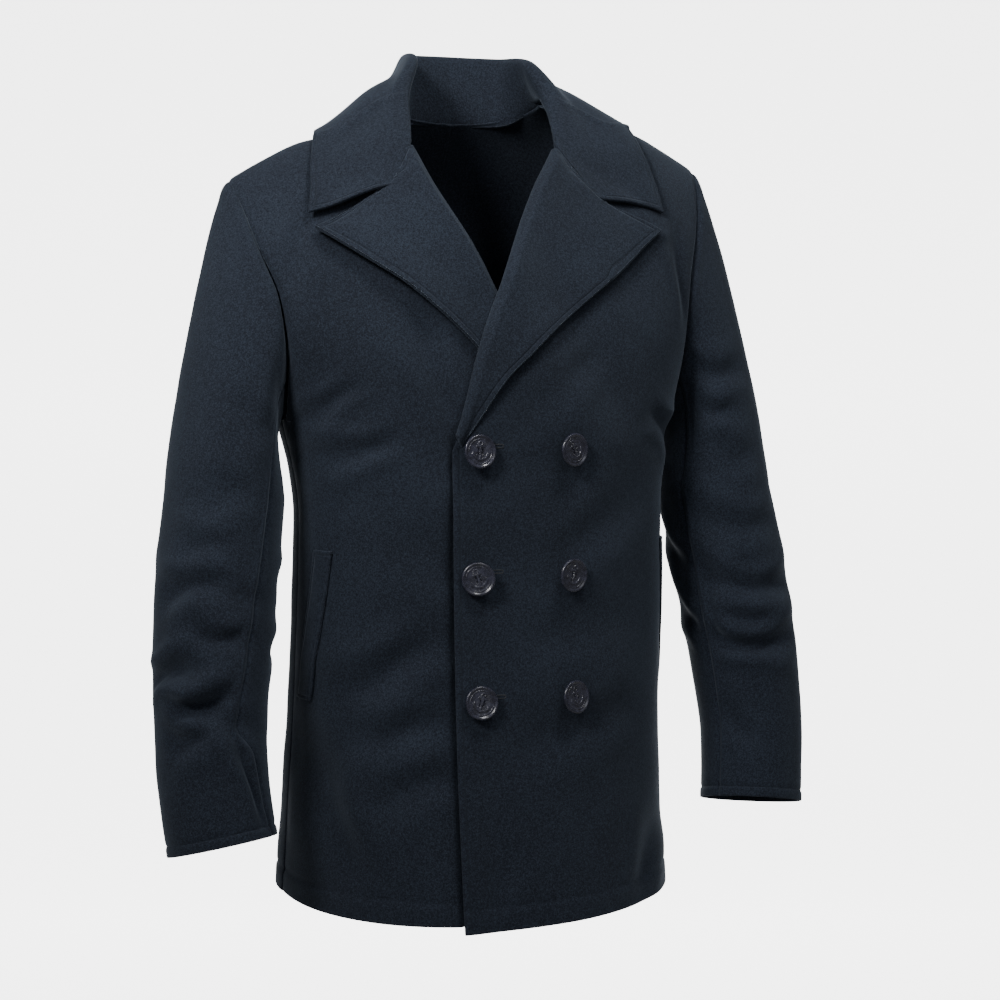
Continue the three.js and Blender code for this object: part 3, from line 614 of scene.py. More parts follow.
# What a front has besides: a wave at its foot, the pocket's slit, the groove of its stitch line, and at the
# free edge either a lift or, on the front below, a gutter where the other one's edge lies over it
def frontRelief(side, x, z, across, row):
    wave, size = drape["frontWave"]
    wavy = smooth(-z, *drape["frontFrom"]) * smooth(x, *drape["frontReach"])
    relief = wave * np.sin(x / size + side) * wavy - drape["slit"] * pocketSlit(x, z)
    if side > 0:
        lifted = 1 - smooth(z, *drape["edgeFrom"])
        relief = relief + drape["edgeLift"] * lifted * bell(across, drape["edgeWide"])
    else:
        inward = x - cover["overlap"]
        gutter = (1 - smooth(inward, *drape["gutterStep"])) * smooth(inward, *drape["gutterReach"])
        below = 1 - smooth(z, cover["breakLevel"], cover["breakLevel"] + drape["gutterRise"])
        relief = relief - drape["gutter"] * gutter * below
    depth, wide = drape["edgeGroove"]
    return relief - depth * bell(across - cloth["edgeLine"], wide) * (row < 1)


# The folded hem is a little thicker up to its stitch line, which lies in a groove
def hemRelief(x, toHem):
    band = 1 - smooth(toHem - cloth["hemLine"], -drape["hemSoft"], drape["hemSoft"])
    depth, wide = drape["hemGroove"]
    return drape["hemThick"] * band - depth * bell(toHem - cloth["hemLine"], wide) * (1 + 0.3 * np.sin(x / 7))


# A front or a back: its places, lifted off the body surface by its relief and its stand-off
def buildPanel(name, side, face, innerEdge, columns, creases):
    x, z, row = panelPlaces(innerEdge, columns)
    surface = bodyPoint(x, z, face)
    across, upwards = gridLengths(surface)
    toOuter = across[:, -1:] - across
    toHem, toShoulder = upwards, upwards[-1:] - upwards
    way = upwards + 0 * across
    relief = panelRelief(x, z, creases, side * 2.3 + face)
    relief = relief * (1 - drape["calm"] * bell(np.minimum(across, toOuter), drape["calmWide"]))
    outerSeam = mix(drape["sideSeam"], drape["armholeSeam"], smooth(row, 0.98, 1.03))
    relief = relief + outerSeam * seamDip(toOuter, way) + seamDip(toShoulder, across) + hemRelief(x, toHem)
    if face > 0:
        wave, size = drape["backWave"]
        relief = relief + seamDip(across, way) * (row < panel["neckRow"])
        relief = relief + wave * np.sin(x / size + 1) * smooth(-z, *drape["backFrom"])
    else:
        relief = relief + frontRelief(side, x, z, across, row)
    normal = bodyNormal(surface, face)
    raised = relief + (standOff(side, x, z) if face < 0 else 0) - cloth["wall"] / 2
    grid = surface + normal * raised[..., None] + np.array([0, face * cloth["seamGap"] / 2, 0])
    hemSeam = np.abs(toHem - cloth["hemLine"]) + cloth["edgeLine"]
    frontSeam = np.where((face < 0) & (row <= 1.02), across, cloth["stitchless"])
    alongSeam = np.where(frontSeam < hemSeam, upwards, across)
    edge = np.stack([np.minimum(frontSeam, hemSeam), alongSeam], -1) / 1000
    made = clothWall(name, placed(grid, side), cloth["wall"], {"edge": edge}, outward=-side * face)
    finishPiece(made, name, wool)
    return made


for sideName, side in (("left", 1), ("right", -1)):
    buildPanel(f"{sideName}_front", side, -1, partial(frontInnerEdge, sideName), panel["frontColumns"],
               frontCreases[sideName])
    buildPanel(f"{sideName}_back", side, 1, backInnerEdge, panel["backColumns"],
               backCreases)
print("stage: fronts and backs made")

arm = {
    "level": [-705, -675, -630, -577, -515, -455, -385],
    "x": [277, 280, 283, 281, 275, 268, 258], "y": [-80, -74, -66, -57, -46, -34, -22],
    "across": [51, 51, 52, 54, 57, 58, 56.5], "fore": [52, 53, 55, 58, 62, 66, 70],
    "outSlope": [-0.14, -0.12, -0.08, -0.04, -0.02, 0, 0],
    "frontSlope": [0.24, 0.2, 0.16, 0.1, 0.06, 0.03, 0],
    "seamLevel": [-705, -625, -590, -530, -460, -385],
    "frontSeam": {"left": [-68, -66, -66, -66, -65, -64], "right": [-52, -36, -15, -21, -27, -31]},
    "capSeam": -45, "backSeam": 150, "backTwist": {"left": -13, "right": 22}, "capRows": 64, "armRows": 122,
    "crease": 2.6, "slow": (0.7, 40), "quick": (0.3, 15), "calm": 0.8, "calmWide": 9,
    "capFrom": 26, "cuffFrom": 30,
    "seam": (1.5, 2.6), "seamRidge": 0.9, "seamRidgeAt": 5, "seamRidgeWide": 2.6,
    "armholeSeam": (2.7, 3.0), "capRoll": 1.1, "capRollAt": 11, "capRollWide": 8,
    "gather": (0.35, 3.1), "gatherWide": 12, "cuffThick": 0.7, "cuffGroove": 0.9, "cuffGrooveAt": 9.5,
}
sleeveFolds = {  # the largest ones: level, turn from the front, depth, height, width in degrees, slant
    "left": [(-352, 60, 2.5, 14, 60, 0.3), (-470, -10, 3, 13, 60, -0.2), (-535, 10, 2.6, 13, 55, 0.2)],
    "right": [(-470, -5, 2.5, 13, 50, 0.3), (-525, 20, 3, 13, 55, -0.2), (-585, 5, 5, 14, 55, 0.35)],
}
sleeveCreases = {  # places are (turn in degrees, level); a degree is about a millimetre round the arm
    "right": [
        {"line": ((52, -572), (-16, -556)), "depth": 4.0, "wide": 10, "bow": -3},
        {"line": ((100, -554), (24, -530)), "depth": 3.2, "wide": 10, "bow": 4},
        {"line": ((40, -500), (-22, -507)), "depth": 1.8, "wide": 10, "bow": -3},
        {"line": ((76, -474), (4, -450)), "depth": 2.2, "wide": 13, "bow": 4},
        {"line": ((56, -433), (2, -419)), "depth": 1.4, "wide": 14, "bow": 3},
        {"line": ((40, -383), (-14, -370)), "depth": 1.0, "wide": 16, "bow": 3},
        {"line": ((30, -578), (-30, -598)), "depth": 1.5, "wide": 11, "bow": 2},
        {"line": ((-8, -590), (-46, -690)), "depth": 2.4, "wide": 9, "bow": 4},
        {"line": ((64, -604), (12, -592)), "depth": 1.6, "wide": 12, "bow": -3},
        {"line": ((-20, -330), (20, -275)), "depth": 1.2, "wide": 14, "bow": 4},
    ],
    "left": [
        {"line": ((-60, -474), (62, -478)), "depth": 2.4, "wide": 12, "bow": 9},
        {"line": ((-66, -532), (48, -532)), "depth": 2.8, "wide": 10, "bow": 11},
        {"line": ((-36, -268), (38, -262)), "depth": 1.8, "wide": 12, "bow": 6},
        {"line": ((-36, -300), (12, -306)), "depth": 1.6, "wide": 10, "bow": 4},
        {"line": ((-58, -413), (44, -415)), "depth": 1.4, "wide": 14, "bow": 9},
        {"line": ((-50, -450), (-54, -545)), "depth": 1.4, "wide": 9, "bow": 2},
        {"line": ((-44, -505), (10, -515)), "depth": 1.2, "wide": 10, "bow": 5},
        {"line": ((-30, -350), (30, -345)), "depth": 1.1, "wide": 16, "bow": 7},
        {"line": ((-70, -600), (-20, -640)), "depth": 1.0, "wide": 13, "bow": 4},
    ],
    "both": [
        {"line": ((110, -468), (210, -450)), "depth": 2.4, "wide": 13, "bow": -6},
        {"line": ((120, -512), (230, -500)), "depth": 2.8, "wide": 13, "bow": -7},
        {"line": ((130, -550), (215, -556)), "depth": 1.8, "wide": 13, "bow": 5},
        {"line": ((120, -405), (190, -385)), "depth": 1.6, "wide": 16, "bow": 5},
        {"line": ((235, -420), (290, -470)), "depth": 2.0, "wide": 13, "bow": 5},
        {"line": ((240, -500), (300, -530)), "depth": 1.8, "wide": 12, "bow": 4},
        {"line": ((140, -300), (200, -340)), "depth": 1.5, "wide": 16, "bow": 6},
        {"line": ((225, -330), (255, -385)), "depth": 1.8, "wide": 14, "bow": 5},
    ],
}


def armholePoint(turn):
    z = armholeLevel(np.radians(turn))
    x = along(armhole["level"], armhole["x"], z)
    inFront = (np.cos(np.radians(turn)) > 0)[..., None]
    return np.where(inFront, bodyPoint(x, z, -1), bodyPoint(x, z, 1))


# Arm ring: an ellipse at each level, tilted by two slopes and pressed in by bells of the large folds
def armPoint(sideName, z, turn):
    def get(column):
        return along(arm["level"], arm[column], z)

    across, ahead = np.sin(np.radians(turn)), np.cos(np.radians(turn))
    fold = 0 * (z + turn)
    for level, middle, depth, tall, wide, slant in sleeveFolds[sideName]:
        away = (turn - middle + 540) % 360 - 180
        fold = fold + depth * bell(z - level - slant * away, tall) * bell(away, wide)
    out, fore = get("across") - fold, get("fore") - fold
    tilt = get("outSlope") * out * across + get("frontSlope") * fore * ahead
    return points(get("x") + out * across, get("y") - fore * ahead, z + tilt)


# Sleeve cap: Hermite curve from the armhole seam to the first arm ring
def capPoint(sideName, share, turn):
    start = armholePoint(turn) - np.array([cloth["tuck"], 0, 0])
    end = armPoint(sideName, arm["level"][-1] + 0 * turn, turn)
    length = np.linalg.norm(end - start, axis=-1, keepdims=True)
    low = np.maximum(0, -np.sin(np.radians(turn)))
    startLine = points(0.15 + 0.4 * low, -0.12 * np.cos(np.radians(turn)), -0.2) * length
    endLine = points(0.1 * (1 - low), -0.05, -0.96) * length
    return hermite(share[..., None], start, end, startLine, endLine)


# A sleeve piece: rows down the cap and then the arm, from one seam's turn to the other's, lifted by its
# relief
def buildSleeve(name, sideName, side, isTop, columns):
    rows = arm["capRows"] + arm["armRows"] + 1
    share = np.clip(np.arange(rows) / arm["capRows"], 0, 1)[:, None]
    lowered = np.concatenate([np.zeros(arm["capRows"]), spread(arm["armRows"] + 1, 0.3)])[:, None]
    z = mix(arm["level"][-1], arm["level"][0], lowered)
    front = mix(arm["capSeam"], along(arm["seamLevel"], arm["frontSeam"][sideName], z), share)
    back = arm["backSeam"] + arm["backTwist"][sideName] * lowered
    part = spread(columns + 1, 0.5)[None, :]
    turn = mix(front, back, part) if isTop else mix(back, front + 360, part)
    inCap = (share < 1)[..., None]
    middle = np.where(inCap, capPoint(sideName, share + 0 * turn, turn), armPoint(sideName, z, turn))
    across, downwards = gridLengths(middle)
    toSeam = np.minimum(across, across[:, -1:] - across)
    toCuff = downwards[-1:] - downwards
    level = middle[..., 2]
    creases = sleeveCreases[sideName] + sleeveCreases["both"]
    (slow, slowSize), (quick, quickSize) = arm["slow"], arm["quick"]
    relief = arm["crease"] * creased(turn, level, creases) + slow * ripple(turn, level, slowSize, side + 1)
    relief = relief + quick * ripple(turn, level, quickSize, side * 2 + 3)
    calm = (1 - arm["calm"] * bell(toSeam, arm["calmWide"])) * smooth(downwards, 0, arm["capFrom"])
    relief = relief * calm * smooth(toCuff, -6, arm["cuffFrom"]) + seamDip(toSeam, downwards, *arm["seam"])
    relief = relief + arm["seamRidge"] * bell(toSeam - arm["seamRidgeAt"], arm["seamRidgeWide"]) * isTop
    gather, stitch = arm["gather"]
    gathered = gather * np.sin(turn / stitch) * bell(downwards, arm["gatherWide"])
    relief = relief + gathered * smooth(np.sin(np.radians(turn)), -0.2, 0.6)
    relief = relief + seamDip(downwards, across, *arm["armholeSeam"])
    relief = relief + arm["capRoll"] * bell(downwards - arm["capRollAt"], arm["capRollWide"])
    relief = relief + arm["cuffThick"] * (1 - smooth(toCuff, 7, 11))
    relief = relief - arm["cuffGroove"] * bell(toCuff - arm["cuffGrooveAt"], 2)
    normal = unit(np.cross(np.gradient(middle, axis=0), np.gradient(middle, axis=1)))
    grid = middle + normal * (relief - cloth["wall"] / 2)[..., None]
    edge = np.stack([np.abs(toCuff - cloth["cuffLine"]) + cloth["edgeLine"], across], -1) / 1000
    made = clothWall(name, placed(grid, side), cloth["wall"], {"edge": edge}, outward=-side)
    finishPiece(made, name, wool)
    return made


for sideName, side in (("left", 1), ("right", -1)):
    buildSleeve(f"{sideName}_top_sleeve", sideName, side, True, 76)
    buildSleeve(f"{sideName}_under_sleeve", sideName, side, False, 60)
print("stage: sleeves made")

lapelCut = {
    "wall": 4.2, "rest": 1.8, "gap": -0.5, "fade": 0.3, "rows": 96, "columns": 66,
    "puff": {"left": 3.5, "right": 2.5}, "foot": {"left": -325, "right": -214},
    "lift": {"left": 2.2, "right": 8}, "corner": {"left": (103, -101), "right": (103, -89)},
    "edge": {  # share of the way down the lapel, x and z
        "left": ([0, 0.35, 0.62, 0.78, 0.9, 1], [171, 89, 13, -21, -43, -61],
                 [-138, -187, -243, -274, -306, -332]),
        "right": ([0, 0.5, 0.8, 1], [178, 97, 50, 22], [-122, -189, -232, -262]),
    },
    # from behind the front's edge round the roll: distance, height over the front, wall
    "hook": ([6, 2, -2.4, -4.1, -2.5], [-5.4, -5.1, -3.9, -0.8, 2.5], [2, 2, 2, 2.2, 2.8]), "hookSteps": 22,
    "puffWide": 26, "topHeight": 3.1, "topWide": 9, "footHeight": -0.9, "seamDepth": 0.34, "seamWide": 1.7,
    "slow": (0.5, 34),
}


# Lapel: each row starts behind the front's edge, goes round the roll line and lies on the front out to the
# edge; its top row dips along the gorge seam to the notch, then runs to the tip
def buildLapel(name, sideName, side):
    roll, (edgeT, edgeX, edgeZ) = rollLines[sideName], lapelCut["edge"][sideName]
    share = spread(lapelCut["rows"] + 1, 0.3)[:, None]
    rollZ = mix(roll["level"][-1] - lapelCut["gap"], lapelCut["foot"][sideName], share)
    startX, startZ = along(roll["level"], roll["x"], rollZ), rollZ
    endX, endZ = along(edgeT, edgeX, share), along(edgeT, edgeZ, share)
    dx, dz = endX - startX, endZ - startZ
    length = np.hypot(dx, dz)
    knots = np.arange(5.0)
    at = np.linspace(0, 5, lapelCut["hookSteps"] + 1)[None, :-1]
    firstD = np.minimum(3, length / 4)
    puffAt = lapelCut["puff"][sideName] * (1 - smooth(share, 0.5, 1))

    def faceHeight(d):
        return lapelCut["wall"] / 2 + lapelCut["rest"] + puffAt * bell(d, lapelCut["puffWide"])

    hookD, hookH, hookT = (np.array(column, float) for column in lapelCut["hook"])
    hooked = []
    firsts = firstD, faceHeight(firstD), lapelCut["wall"] + 0 * firstD
    for column, last in zip((hookD, hookH, hookT), firsts):
        inner = along(knots, column, np.minimum(at, 4))
        hooked.append(np.where(at < 4, inner, mix(column[4], last, smooth(at, 4, 5))))
    faceD = mix(firstD, length, spread(lapelCut["columns"] + 1, 0.5)[None, :])
    d = np.concatenate([np.minimum(hooked[0] + 0 * length, length), faceD], 1)
    h = np.concatenate([hooked[1] + 0 * length, faceHeight(faceD)], 1)
    wall = np.concatenate([hooked[2] + 0 * length, lapelCut["wall"] + 0 * faceD], 1)
    cornerX, cornerZ = lapelCut["corner"][sideName]
    place = np.maximum(0.1, (cornerX - startX) / (endX - startX))
    dip = cornerZ - lapelCut["gap"] - mix(startZ, endZ, place)
    t = np.maximum(0, d / length)
    bend = np.where(t < place, dip * t / place, dip * (1 - t) / (1 - place))
    bend = bend * np.maximum(0, 1 - share / lapelCut["fade"])
    x, z = startX + dx / length * d, startZ + dz / length * d + bend
    toTop = gridLengths(onFront(side, x, z, h))[1]
    beforeNotch = 1 - smooth(t / place, 0.85, 1.15)
    h = h - np.maximum(0, h - lapelCut["topHeight"]) * bell(toTop, lapelCut["topWide"]) * beforeNotch
    h = mix(h, lapelCut["footHeight"], smooth(share, 0.78, 1) * smooth(d, -2, 8) * (side > 0))
    lifted = smooth(t, 0.45, 1) * smooth(share, -0.1, 0.12) * (1 - smooth(share, 0.55, 0.95))
    h = h + lapelCut["lift"][sideName] * lifted
    toEdge = length - d
    wave, size = lapelCut["slow"]
    relief = wave * ripple(x, z, size, side + 5) * smooth(toEdge, 4, 30) * smooth(d, 10, 40)
    nearest = np.where(d > 6, np.minimum(toEdge, toTop), cloth["stitchless"])
    fold = np.minimum(toEdge, np.where(d > 4, toTop, cloth["stitchless"]))
    groove = lapelCut["seamDepth"] * bell(fold - cloth["edgeLine"], lapelCut["seamWide"])
    grid = onFront(side, x, z, h + relief - groove * smooth(d, 3, 12))
    edge = np.stack([nearest, np.where(toEdge < toTop, toTop, toEdge)], -1) / 1000
    made = clothWall(name, placed(grid, side), wall, {"edge": edge}, rim=4, outward=-side, inset=0.7)
    finishPiece(made, name, wool)
    return made


buildLapel("left_lapel", "left", 1)
buildLapel("right_lapel", "right", -1)
print("stage: lapels made")

collarCut = {
    "wall": 4, "taper": 1, "rest": 2.4, "ridgeRest": 1.2, "lift": {"left": 1.6, "right": 5.5},
    "rows": 96, "columns": 64, "start": 0.03,  # the share of the section from which it shows
    "weight": (2.4, 0.8, 0.3, 1),  # of the fold behind and in front, and from where to where it changes
    "sag": (9, 0.38, 0.22),  # depth, and where and how widely along the collar
    "seamDepth": 0.34, "seamWide": 1.7, "slow": (0.5, 30),
    # x, y and z of six places from the centre back to the end at the lapel
    "left": {
        "seam": ([0, 46, 79, 78, 74, 102], [55, 46, 10, -18, -42, -74], [-26, -24, -11, -26, -55, -99]),
        "fold": ([0, 46, 46, 62, 58, 136], [66, 55, 10, -22, -62, -80], [84, 82, 66, 22, -38, -98]),
        "edge": ([0, 90, 160, 171, 176, 177], [82, 72, 6, -38, -52, -62], [-50, -54, -28, -60, -90, -121]),
    },
    "right": {
        "seam": ([0, 46, 79, 80, 82, 103], [55, 46, 10, -18, -42, -72], [-26, -24, -11, -26, -53, -88]),
        "fold": ([0, 42, 30, 56, 66, 136], [66, 55, 12, -22, -60, -78], [84, 82, 70, 24, -38, -88]),
        "edge": ([0, 88, 156, 174, 178, 183], [82, 72, 6, -38, -52, -62], [-50, -56, -36, -66, -83, -106]),
    },
}


# Points moved clear of the body: up from the ridge, or out along the body's normal by what is missing.
# Inside the neck opening there is nothing to clear
def clearOfBody(point, side, height):
    x, z = point[..., 0], point[..., 2]
    drop = ridge(x) - z
    beside = smooth(np.abs(x), body["neckReach"] - 22, body["neckReach"] + 4)
    lifted = point + points(0, 0, np.maximum(0, height + collarCut["ridgeRest"] + 0.9 * drop) * beside)
    out = point.copy()
    for face in (-1, 1):
        seat = bodyPoint(x, np.minimum(z, ridge(x) - 0.2), face)
        normal = bodyNormal(seat, face)
        need = height + collarCut["ridgeRest"] * bell(drop, 12) + (standOff(side, x, z) if face < 0 else 0)
        missing = np.maximum(0, need - np.sum((point - seat) * normal, -1))
        moved = point + normal * (missing * np.maximum(beside, smooth(drop, 20, 60)))[..., None]
        mine = (point[..., 1] < middleLine(z)) if face < 0 else (point[..., 1] >= middleLine(z))
        out = np.where(mine[..., None], moved, out)
    return np.where((drop <= 0)[..., None], lifted, out)


# Each value becomes a quarter of its two neighbours and half of itself, along both directions, again and
# again
def blurred(values, times):
    for axis in (0, 1) * times:
        rolled = np.moveaxis(values, axis, 0)
        rolled = np.concatenate([rolled[:1], rolled, rolled[-1:]], 0)
        values = np.moveaxis(0.25 * rolled[:-2] + 0.5 * rolled[1:-1] + 0.25 * rolled[2:], 0, axis)
    return values


# Collar section: weighted quadratic from the neck seam over the fold to the outer edge; over the shoulder
# its leaf sags by a squared sine of the way across. Then it is moved clear of the body, the moves blurred
# so that they leave no ridge
def collarPoint(sideName, side, station, across):
    cut = collarCut[sideName]
    at = station * 5
    places = np.arange(6)
    rows = cut["seam"], cut["fold"], cut["edge"]
    a, b, c = (np.stack([along(places, column, at) for column in row], -1) for row in rows)
    back, front, low, high = collarCut["weight"]
    weight = mix(back, front, smooth(station, low, high))
    atSeam = ((1 - across) ** 2)[..., None]
    atFold = (2 * across * (1 - across) * weight)[..., None]
    atEdge = (across ** 2)[..., None]
    point = (a * atSeam + b * atFold + c * atEdge) / (atSeam + atFold + atEdge)
    depth, middle, wide = collarCut["sag"]
    leaf = np.sin(np.pi * smooth(across, 0.45, 1)) ** 2
    point[..., 2] -= depth * leaf * bell(station - middle, wide)
    height = collarCut["rest"] + collarCut["lift"][sideName] * smooth(across, 0.5, 1)
    moves = clearOfBody(point, side, height) - point
    return clearOfBody(point + blurred(moves, 14), side, collarCut["rest"] - 0.7)


# The collar's two halves end to end from the right end to the left one, as a wall that tapers to its outer
# edge
def buildCollar():
    rows, columns = collarCut["rows"], collarCut["columns"]
    station = spread(rows + 1, 0.0)[:, None] + np.zeros((1, columns + 1))
    across = 0.5 - 0.5 * np.cos(np.pi * np.linspace(collarCut["start"], 1, columns + 1))
    across = across[None, :] + 0 * station
    leftHalf = placed(collarPoint("left", 1, station, across), 1)
    rightHalf = placed(collarPoint("right", -1, station, across), -1)
    grid = np.concatenate([rightHalf[::-1], leftHalf[1:]], 0)
    lengths, wayRound = gridLengths(grid)
    toEdge = lengths[:, -1:] - lengths
    toEnd = np.minimum(wayRound, wayRound[-1:] - wayRound)
    normal = unit(np.cross(np.gradient(grid, axis=1), np.gradient(grid, axis=0)))
    share = np.broadcast_to(np.linspace(0, 1, columns + 1)[None, :], toEdge.shape)
    wave, size = collarCut["slow"]
    relief = wave * ripple(wayRound, lengths, size, 2) * smooth(toEdge, 4, 24) * smooth(toEnd, 4, 24)
    nearest = np.minimum(toEdge, toEnd)
    groove = collarCut["seamDepth"] * bell(nearest - cloth["edgeLine"], collarCut["seamWide"])
    grid = grid + normal * (relief - groove * smooth(share, 0.3, 0.5))[..., None]
    wall = collarCut["wall"] - collarCut["taper"] * share ** 4
    nearest = np.where(share > 0.3, nearest, cloth["stitchless"])
    edge = np.stack([nearest, np.where(toEdge < toEnd, wayRound, lengths)], -1) / 1000
    made = clothWall("collar", grid, wall, {"edge": edge}, rim=4, outward=1, inset=0.7)
    finishPiece(made, "collar", wool)
    return made


buildCollar()
print("stage: collar made")

# Pocket welt: a slanted strip on the front, ruled between its two lines of turn
def buildWelt(name, side):
    share = spread(welt["rows"] + 1, 0.4)[:, None]
    rest = welt["rest"]["left" if side > 0 else "right"]
    part = spread(welt["columns"] + 1, 0.4)[None, :]
    z = mix(welt["bottom"][0], welt["top"][0], share) + 0 * part
    turn = np.radians(mix(welt["bottom"][1], welt["top"][1], share) + welt["width"] * part)
    x = halfWidth(z) * reachOf(turn)
    base = onFront(side, x, z, rest + welt["wall"] / 2 + 0 * x)
    across, upwards = gridLengths(base)
    toSide = np.minimum(across, across[:, -1:] - across)
    toEnd = np.minimum(upwards, upwards[-1:] - upwards)
    relief = panelRelief(x, z, frontCreases["left" if side > 0 else "right"], side * 2.3 - 1)
    groove = welt["seamDepth"] * bell(np.minimum(toSide, toEnd) - welt["seam"], welt["seamWide"])
    relief = relief + welt["puff"] * smooth(toSide, 0, 5) - groove
    grid = onFront(side, x, z, rest + welt["wall"] / 2 + relief) + np.array([0, -cloth["seamGap"] / 2, 0])
    nearest = np.minimum(across[:, -1:] - across, toEnd) + cloth["edgeLine"] - welt["stitchIn"]
    edge = np.stack([nearest, upwards], -1) / 1000
    made = clothWall(name, placed(grid, side), welt["wall"], {"edge": edge}, outward=side)
    finishPiece(made, name, wool)
    return made


buildWelt("left_pocket_welt", 1)
buildWelt("right_pocket_welt", -1)
print("stage: welts made")

# Horn-like resin of the buttons: dark grey-violet with cloudy streaks, a satin field and polished high places
hornLook = {
    "dark": (0.010, 0.011, 0.021, 1), "light": (0.030, 0.032, 0.054, 1),
    "streakScale": 210, "grainScale": 1900,
}


def hornFinish():
    f = Finish("darkHorn")
    place = f.node("ShaderNodeTexCoord", output="Object")
    streaks = f.noise(place, hornLook["streakScale"], 3, 0.6)
    grain = f.noise(place, hornLook["grainScale"], 2, 0.6)
    base = f.blend(hornLook["dark"], hornLook["light"], f.between(streaks * 0.7 + grain * 0.3, 0.38, 0.62))
    worn = f.between(grain, 0.35, 0.7)
    bump = f.node("ShaderNodeBump", sockets={"Height": grain, "Distance": 0.00012, "Strength": 0.6})
    f.set(Base_Color=base, Roughness=worn * 0.16 + 0.2, Normal=bump, IOR=1.54, Specular_IOR_Level=0.6)
    return f.material


horn = hornFinish()
button = {
    "seat": 0.7, "rimSteps": 34, "rings": 84, "segments": 132, "relief": 0.75, "hollow": 0.4, "soft": 0.42,
    "profile": ([0, 3.0, 3.0, 12.6, 15.2, 16, 16, 15.5, 14.5, 13.4, 12.6],  # radius
                [0, 0, 4.6, 4.8, 5.4, 6.5, 7.2, 8.3, 8.8, 8.1, 7.6]),  # height
    "columns": {"left": 46, "right": -46},
    "rows": {"top": (-337, {"left": (14, 2, 24), "right": (9, -5, -6)}),
             "middle": (-456, {"left": (11, 2, -14), "right": (-8, -3, 20)}),
             "bottom": (-573, {"left": (14, -4, 8), "right": (3, -5, -18)})},  # turn, nod and spin in degrees
}


# Relief of the face at (u, v): an anchor of bars and arcs, each a smooth step of the distance to its middle
# line, a rope wound about it, a beaded ring, fine engraved lines and four sunk thread holes
def buttonFace(u, v):
    soft = button["soft"] / 2

    def line(distance, half):
        return 1 - smooth(distance, half - soft, half + soft)

    r = np.hypot(u, v)
    shank = line(np.abs(u), 0.95) * line(np.abs(v + 0.8), 6.8)
    stock = line(np.abs(v - 4.6), 0.75) * line(np.abs(u), 4.6)
    eye = line(np.abs(np.hypot(u, v - 7.7) - 1.8), 0.55)
    arms = line(np.abs(np.hypot(u, v - 0.4) - 8.0), 0.95) * smooth(-v, 2.4, 3.2)
    flukes = line(np.abs(np.abs(u) - 7.3) + 0.6 * np.abs(v + 2.9), 1.5)
    rope = line(np.abs(u - 3.1 * np.sin(0.62 * v + 0.6)), 0.5) * line(np.abs(v), 6.6)
    rope = rope * (0.72 + 0.28 * np.sin(5 * v))
    ring = line(np.abs(r - 11.6), 0.4) * (0.7 + 0.3 * np.cos(44 * np.arctan2(v, u)))
    lines = 0.10 * np.sin(v * 5.2) * (r < 10.8)
    raised = np.maximum.reduce([shank, stock, eye, arms, flukes, rope * 0.8, ring * 0.7])
    height = button["relief"] * raised + lines
    holes = line(np.hypot(np.abs(u) - 1.75, np.abs(v) - 1.75), 0.85)
    thread = line(np.abs(np.abs(v) - 1.75), 0.42) * line(np.abs(u), 1.9)
    return (height * (1 - holes) - 1.5 * holes) * (1 - thread) + thread * (0.85 - 0.12 * (u / 1.9) ** 2)


# Button: its profile turned round an axis that leans a little off the front's normal, with the face's relief
def buildButton(name, x, z, turn, nod, spin):
    edgeR, edgeH = button["profile"]
    steps = np.linspace(0, len(edgeR) - 1, button["rimSteps"])
    rimR, rimH = (np.interp(steps, np.arange(len(edgeR)), column) for column in button["profile"])
    faceR = np.linspace(edgeR[-1], 0, button["rings"])[1:]
    radius = np.concatenate([rimR, faceR])[:, None]
    height = np.concatenate([rimH, np.full(len(faceR), edgeH[-1])])[:, None]
    angle = np.linspace(0, 2 * np.pi, button["segments"], endpoint=False)[None, :]
    u, v = radius * np.cos(angle), radius * np.sin(angle)
    onFace = np.concatenate([np.zeros(len(rimR)), np.ones(len(faceR))])[:, None]
    dished = buttonFace(u, v) - button["hollow"] * (1 - (radius / edgeR[-1]) ** 2)
    height = height + onFace * dished * (1 - smooth(radius, edgeR[-1] - 0.6, edgeR[-1]))
    height[0], height[-1] = height[0, 0], height[-1].mean()
    normal = Vector(bodyNormal(bodyPoint(np.array(x), np.array(z), -1), -1))
    axis = Matrix.Rotation(np.radians(nod), 3, "X") @ (Matrix.Rotation(np.radians(turn), 3, "Z") @ normal)
    upwards = (Vector((0, 0, 1)) - axis * axis.z).normalized()
    sideways = upwards.cross(axis)
    across = sideways * np.cos(np.radians(spin)) + upwards * np.sin(np.radians(spin))
    upwards = axis.cross(across)
    lift = button["seat"] + 3 * np.sin(axis.angle(normal))
    origin = onFront(1, np.array(x), np.array(z), 0) + np.array(normal) * lift
    skin = (origin + u[..., None] * np.array(across) + v[..., None] * np.array(upwards)
            + height[..., None] * np.array(axis))
    rings, count = skin.shape[:2]
    quads = ringQuads(rings, count, 1)
    merged = np.arange(rings * count)
    merged[:count], merged[-count:] = 0, (rings - 1) * count
    made = makeMesh(name, skin.reshape(-1, 3), merged[quads])
    return finishPiece(made, name, horn)


for rowName, (level, tilts) in button["rows"].items():
    for columnName, (turn, nod, spin) in tilts.items():
        buildButton(f"button_{rowName}_{columnName}", button["columns"][columnName], level, turn, nod, spin)
print("stage: buttons made")


def threadFinish():
    f = Finish("buttonholeThread")
    f.set(Base_Color=(0.008, 0.011, 0.017, 1), Roughness=0.7, Sheen_Weight=0.2)
    return f.material


buttonholeThread = threadFinish()
buttonhole = {
    "from": -51, "to": -21, "half": 1.5, "thread": 0.62, "swell": 0.16, "stitch": 0.85,
    "around": 220, "section": 10, "levels": {"top": -332, "middle": -450, "bottom": -568},
}


